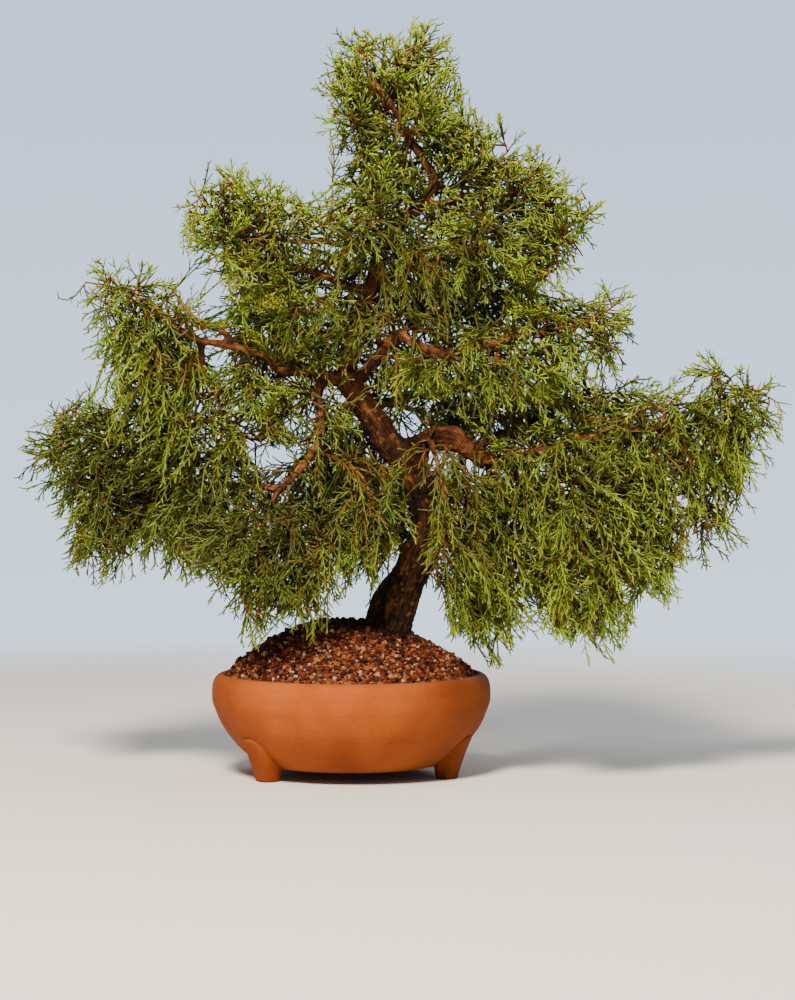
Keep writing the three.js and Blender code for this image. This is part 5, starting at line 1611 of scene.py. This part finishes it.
class BONSAI_OT_grit(bpy.types.Operator):
    """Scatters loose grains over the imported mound"""
    bl_idname = "bonsai.grit"
    bl_label = "Grit"

    def execute(self, context):
        settings = context.scene.bonsai_grit
        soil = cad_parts["soil"]
        dress(soil, soil_material())
        ground = BVHTree.FromPolygons([vert.co[:] for vert in soil.data.vertices],
                                      [tuple(face.vertices) for face in soil.data.polygons])
        rng = np.random.default_rng(GRIT_SEED)
        shapes = [self.grain_shape(rng, k % 3 == 0) for k in range(15)]
        points, faces, draws, trunk_shades = [], [], [], []
        start = 0
        for k in range(settings.grains):
            found = self.resting_place(rng, ground, settings, k)
            if found is None:
                continue
            x, y, height, size = found
            shape, triangles = shapes[int(rng.integers(len(shapes)))]
            spin = self.random_turn(rng)
            points.append((shape * rng.uniform(0.75, 1.15, 3)) @ spin * size + [x, y, height])
            faces.append(triangles + start)
            start += len(shape)
            # Painted shade: near the trunk's foot grains are drawn darker and marked to be darkened.
            trunk_shade = math.exp(-((x - SHADED_SPOT[0]) ** 2 + (y - SHADED_SPOT[1]) ** 2) / SHADED_REACH ** 2)
            draws.append(np.full(len(shape), float(np.clip(rng.beta(1.9, 1.9) - 0.22 * trunk_shade, 0, 1))))
            trunk_shades.append(np.full(len(shape), min(1.0, trunk_shade * 1.1 + 0.12 * rng.uniform())))
        piece = add_object("loose_grit", np.concatenate(points), np.concatenate(faces),
                           {"draw": np.concatenate(draws), "wet": np.concatenate(trunk_shades)}, grit_material())
        piece.data.shade_flat()
        finish_piece(piece)
        return {"FINISHED"}

    def resting_place(self, rng, ground, settings, k):
        """The middle of grain number k and its radius, or None where it would lie off the mound."""
        out = GRIT_REACH * math.sqrt((k + 0.5) / settings.grains)
        turn = k * GOLDEN_ANGLE + rng.uniform(-0.04, 0.04)
        x = out * math.cos(turn) + rng.uniform(-1.2, 1.2)
        y = out * math.sin(turn) + rng.uniform(-1.2, 1.2)
        size = settings.size / MM / 2 * float(np.clip(rng.lognormal(0, 0.26), 0.55, 1.75))
        if math.hypot(x, y) > GRIT_EDGE - size:
            return None
        hit = ground.ray_cast(Vector(in_metres([x, y, GRIT_DROP])), Vector((0, 0, -1)))[0]
        if hit is None:
            return None
        height = hit.z / MM + rng.uniform(-0.4, 0.75) * size
        if height < GRIT_HEIGHTS[0]:
            return None
        wall_from, wall_width, sinks = GRIT_SINKS
        near_wall = max(0.0, (math.hypot(x, y) - wall_from) / wall_width)
        return x, y, min(height, GRIT_HEIGHTS[1]) - sinks * near_wall, size

    def grain_shape(self, rng, rounded):
        """An angular grain: a coarse ball or cube with its corners pushed in and out."""
        bm = bmesh.new()
        if rounded:
            bmesh.ops.create_icosphere(bm, subdivisions=1, radius=1)
        else:
            bmesh.ops.create_cube(bm, size=1.35)
        for vert in bm.verts:
            vert.co *= rng.uniform(0.72, 1.2)
        bmesh.ops.triangulate(bm, faces=bm.faces)
        return arrays_of(bm)

    def random_turn(self, rng):
        """A rotation drawn evenly from all, by way of a random unit quaternion."""
        w, x, y, z = unit(rng.normal(0, 1, 4))
        return np.array([[1 - 2 * (y * y + z * z), 2 * (x * y - z * w), 2 * (x * z + y * w)],
                         [2 * (x * y + z * w), 1 - 2 * (x * x + z * z), 2 * (y * z - x * w)],
                         [2 * (x * z - y * w), 2 * (y * z + x * w), 1 - 2 * (x * x + y * y)]])


# Stage


class BONSAI_OT_stage(bpy.types.Operator):
    """Lays the studio paper and sets wall, lights and camera"""
    bl_idname = "bonsai.stage"
    bl_label = "Stage"

    def execute(self, context):
        settings = context.scene.bonsai_stage
        centre = Vector(POT_AXIS * MM)
        self.add_floor(centre, settings)
        self.add_wall(settings)
        for name, (away, size, watts, colour) in LIGHTS.items():
            self.add_light(context, name, centre, away, size, watts, colour)
        world = bpy.data.worlds.new("studio")
        world.use_nodes = True
        feed(world.node_tree, world.node_tree.nodes["Background"], SKY)
        context.scene.world = world
        self.add_camera(context, centre, settings)
        return {"FINISHED"}

    def add_floor(self, centre, settings):
        """A round sheet of paper, so wide that its edge lies far outside the picture."""
        bm = bmesh.new()
        bmesh.ops.create_circle(bm, cap_ends=True, segments=160, radius=FLOOR_RADIUS)
        bmesh.ops.translate(bm, vec=centre, verts=bm.verts)
        object_of(bm, "studio_floor", floor_material(settings))

    def add_wall(self, settings):
        """A round wall far away on every side, which shows behind the tree and casts no light on it."""
        bm = bmesh.new()
        bmesh.ops.create_uvsphere(bm, u_segments=64, v_segments=32, radius=WALL_RADIUS)
        wall = object_of(bm, "studio_wall", wall_material(settings))
        wall.visible_diffuse = False
        wall.visible_glossy = False
        wall.visible_transmission = False
        wall.visible_shadow = False

    def add_light(self, context, name, centre, away, size, watts, colour):
        """A round soft light that is aimed at the trunk."""
        data = bpy.data.lights.new(name, "AREA")
        data.color = linear(colour)[:3]
        data.shape = "DISK"
        data.size = size
        data.energy = watts
        lamp = bpy.data.objects.new(name, data)
        lamp.location = centre + Vector(away)
        aim = centre + Vector((0, 0, LIGHTS_AIM))
        lamp.rotation_euler = (aim - lamp.location).to_track_quat("-Z", "Y").to_euler()
        context.collection.objects.link(lamp)

    def add_camera(self, context, centre, settings):
        """A camera at the viewer's eye, turned down to the height at which that viewer looks."""
        data = bpy.data.cameras.new("camera")
        data.lens = settings.lens
        data.sensor_width = 36
        data.clip_start = 0.05
        data.clip_end = 30
        camera = bpy.data.objects.new("camera", data)
        camera.location = centre + Vector(VIEWER * MM)
        down = math.atan2(VIEWER[2] - LOOKS_AT, -VIEWER[1])
        camera.rotation_euler = (math.radians(90) - down, 0, 0)
        context.collection.objects.link(camera)
        context.scene.camera = camera


# Panel and registration


class BONSAI_PT_panel(bpy.types.Panel):
    """Lists the bonsai's pieces and their settings"""
    bl_idname = "BONSAI_PT_panel"
    bl_label = "Drooping juniper bonsai"
    bl_space_type = "VIEW_3D"
    bl_region_type = "UI"
    bl_category = "Bonsai"

    def draw(self, context):
        for operator, group in STEPS:
            box = self.layout.box()
            box.operator(operator)
            if group:
                settings = getattr(context.scene, group)
                for key in settings.__annotations__:
                    box.prop(settings, key)


# Operators in the order in which they run, each with the settings that it reads.
STEPS = [
    ("bonsai.stage", "bonsai_stage"),
    ("bonsai.pot", "bonsai_pot"),
    ("bonsai.screen", None),
    ("bonsai.grit", "bonsai_grit"),
    ("bonsai.wood", "bonsai_wood"),
    ("bonsai.foliage", "bonsai_foliage"),
]
GROUP_CLASSES = {
    "bonsai_stage": BonsaiStageSettings,
    "bonsai_pot": BonsaiPotSettings,
    "bonsai_grit": BonsaiGritSettings,
    "bonsai_wood": BonsaiWoodSettings,
    "bonsai_foliage": BonsaiFoliageSettings,
}
CLASSES = [
    *GROUP_CLASSES.values(), BONSAI_OT_stage, BONSAI_OT_pot, BONSAI_OT_screen, BONSAI_OT_grit,
    BONSAI_OT_wood, BONSAI_OT_foliage, BONSAI_PT_panel,
]


def register():
    for cls in CLASSES:
        bpy.utils.register_class(cls)
    for name, cls in GROUP_CLASSES.items():
        setattr(bpy.types.Scene, name, PointerProperty(type=cls))


def unregister():
    for name in GROUP_CLASSES:
        delattr(bpy.types.Scene, name)
    for cls in reversed(CLASSES):
        bpy.utils.unregister_class(cls)


def main():
    """Builds every piece with its operator."""
    register()
    for operator, _ in STEPS:
        category, name = operator.split(".")
        getattr(getattr(bpy.ops, category), name)()
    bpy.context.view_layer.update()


if __name__ == "__main__":
    main()
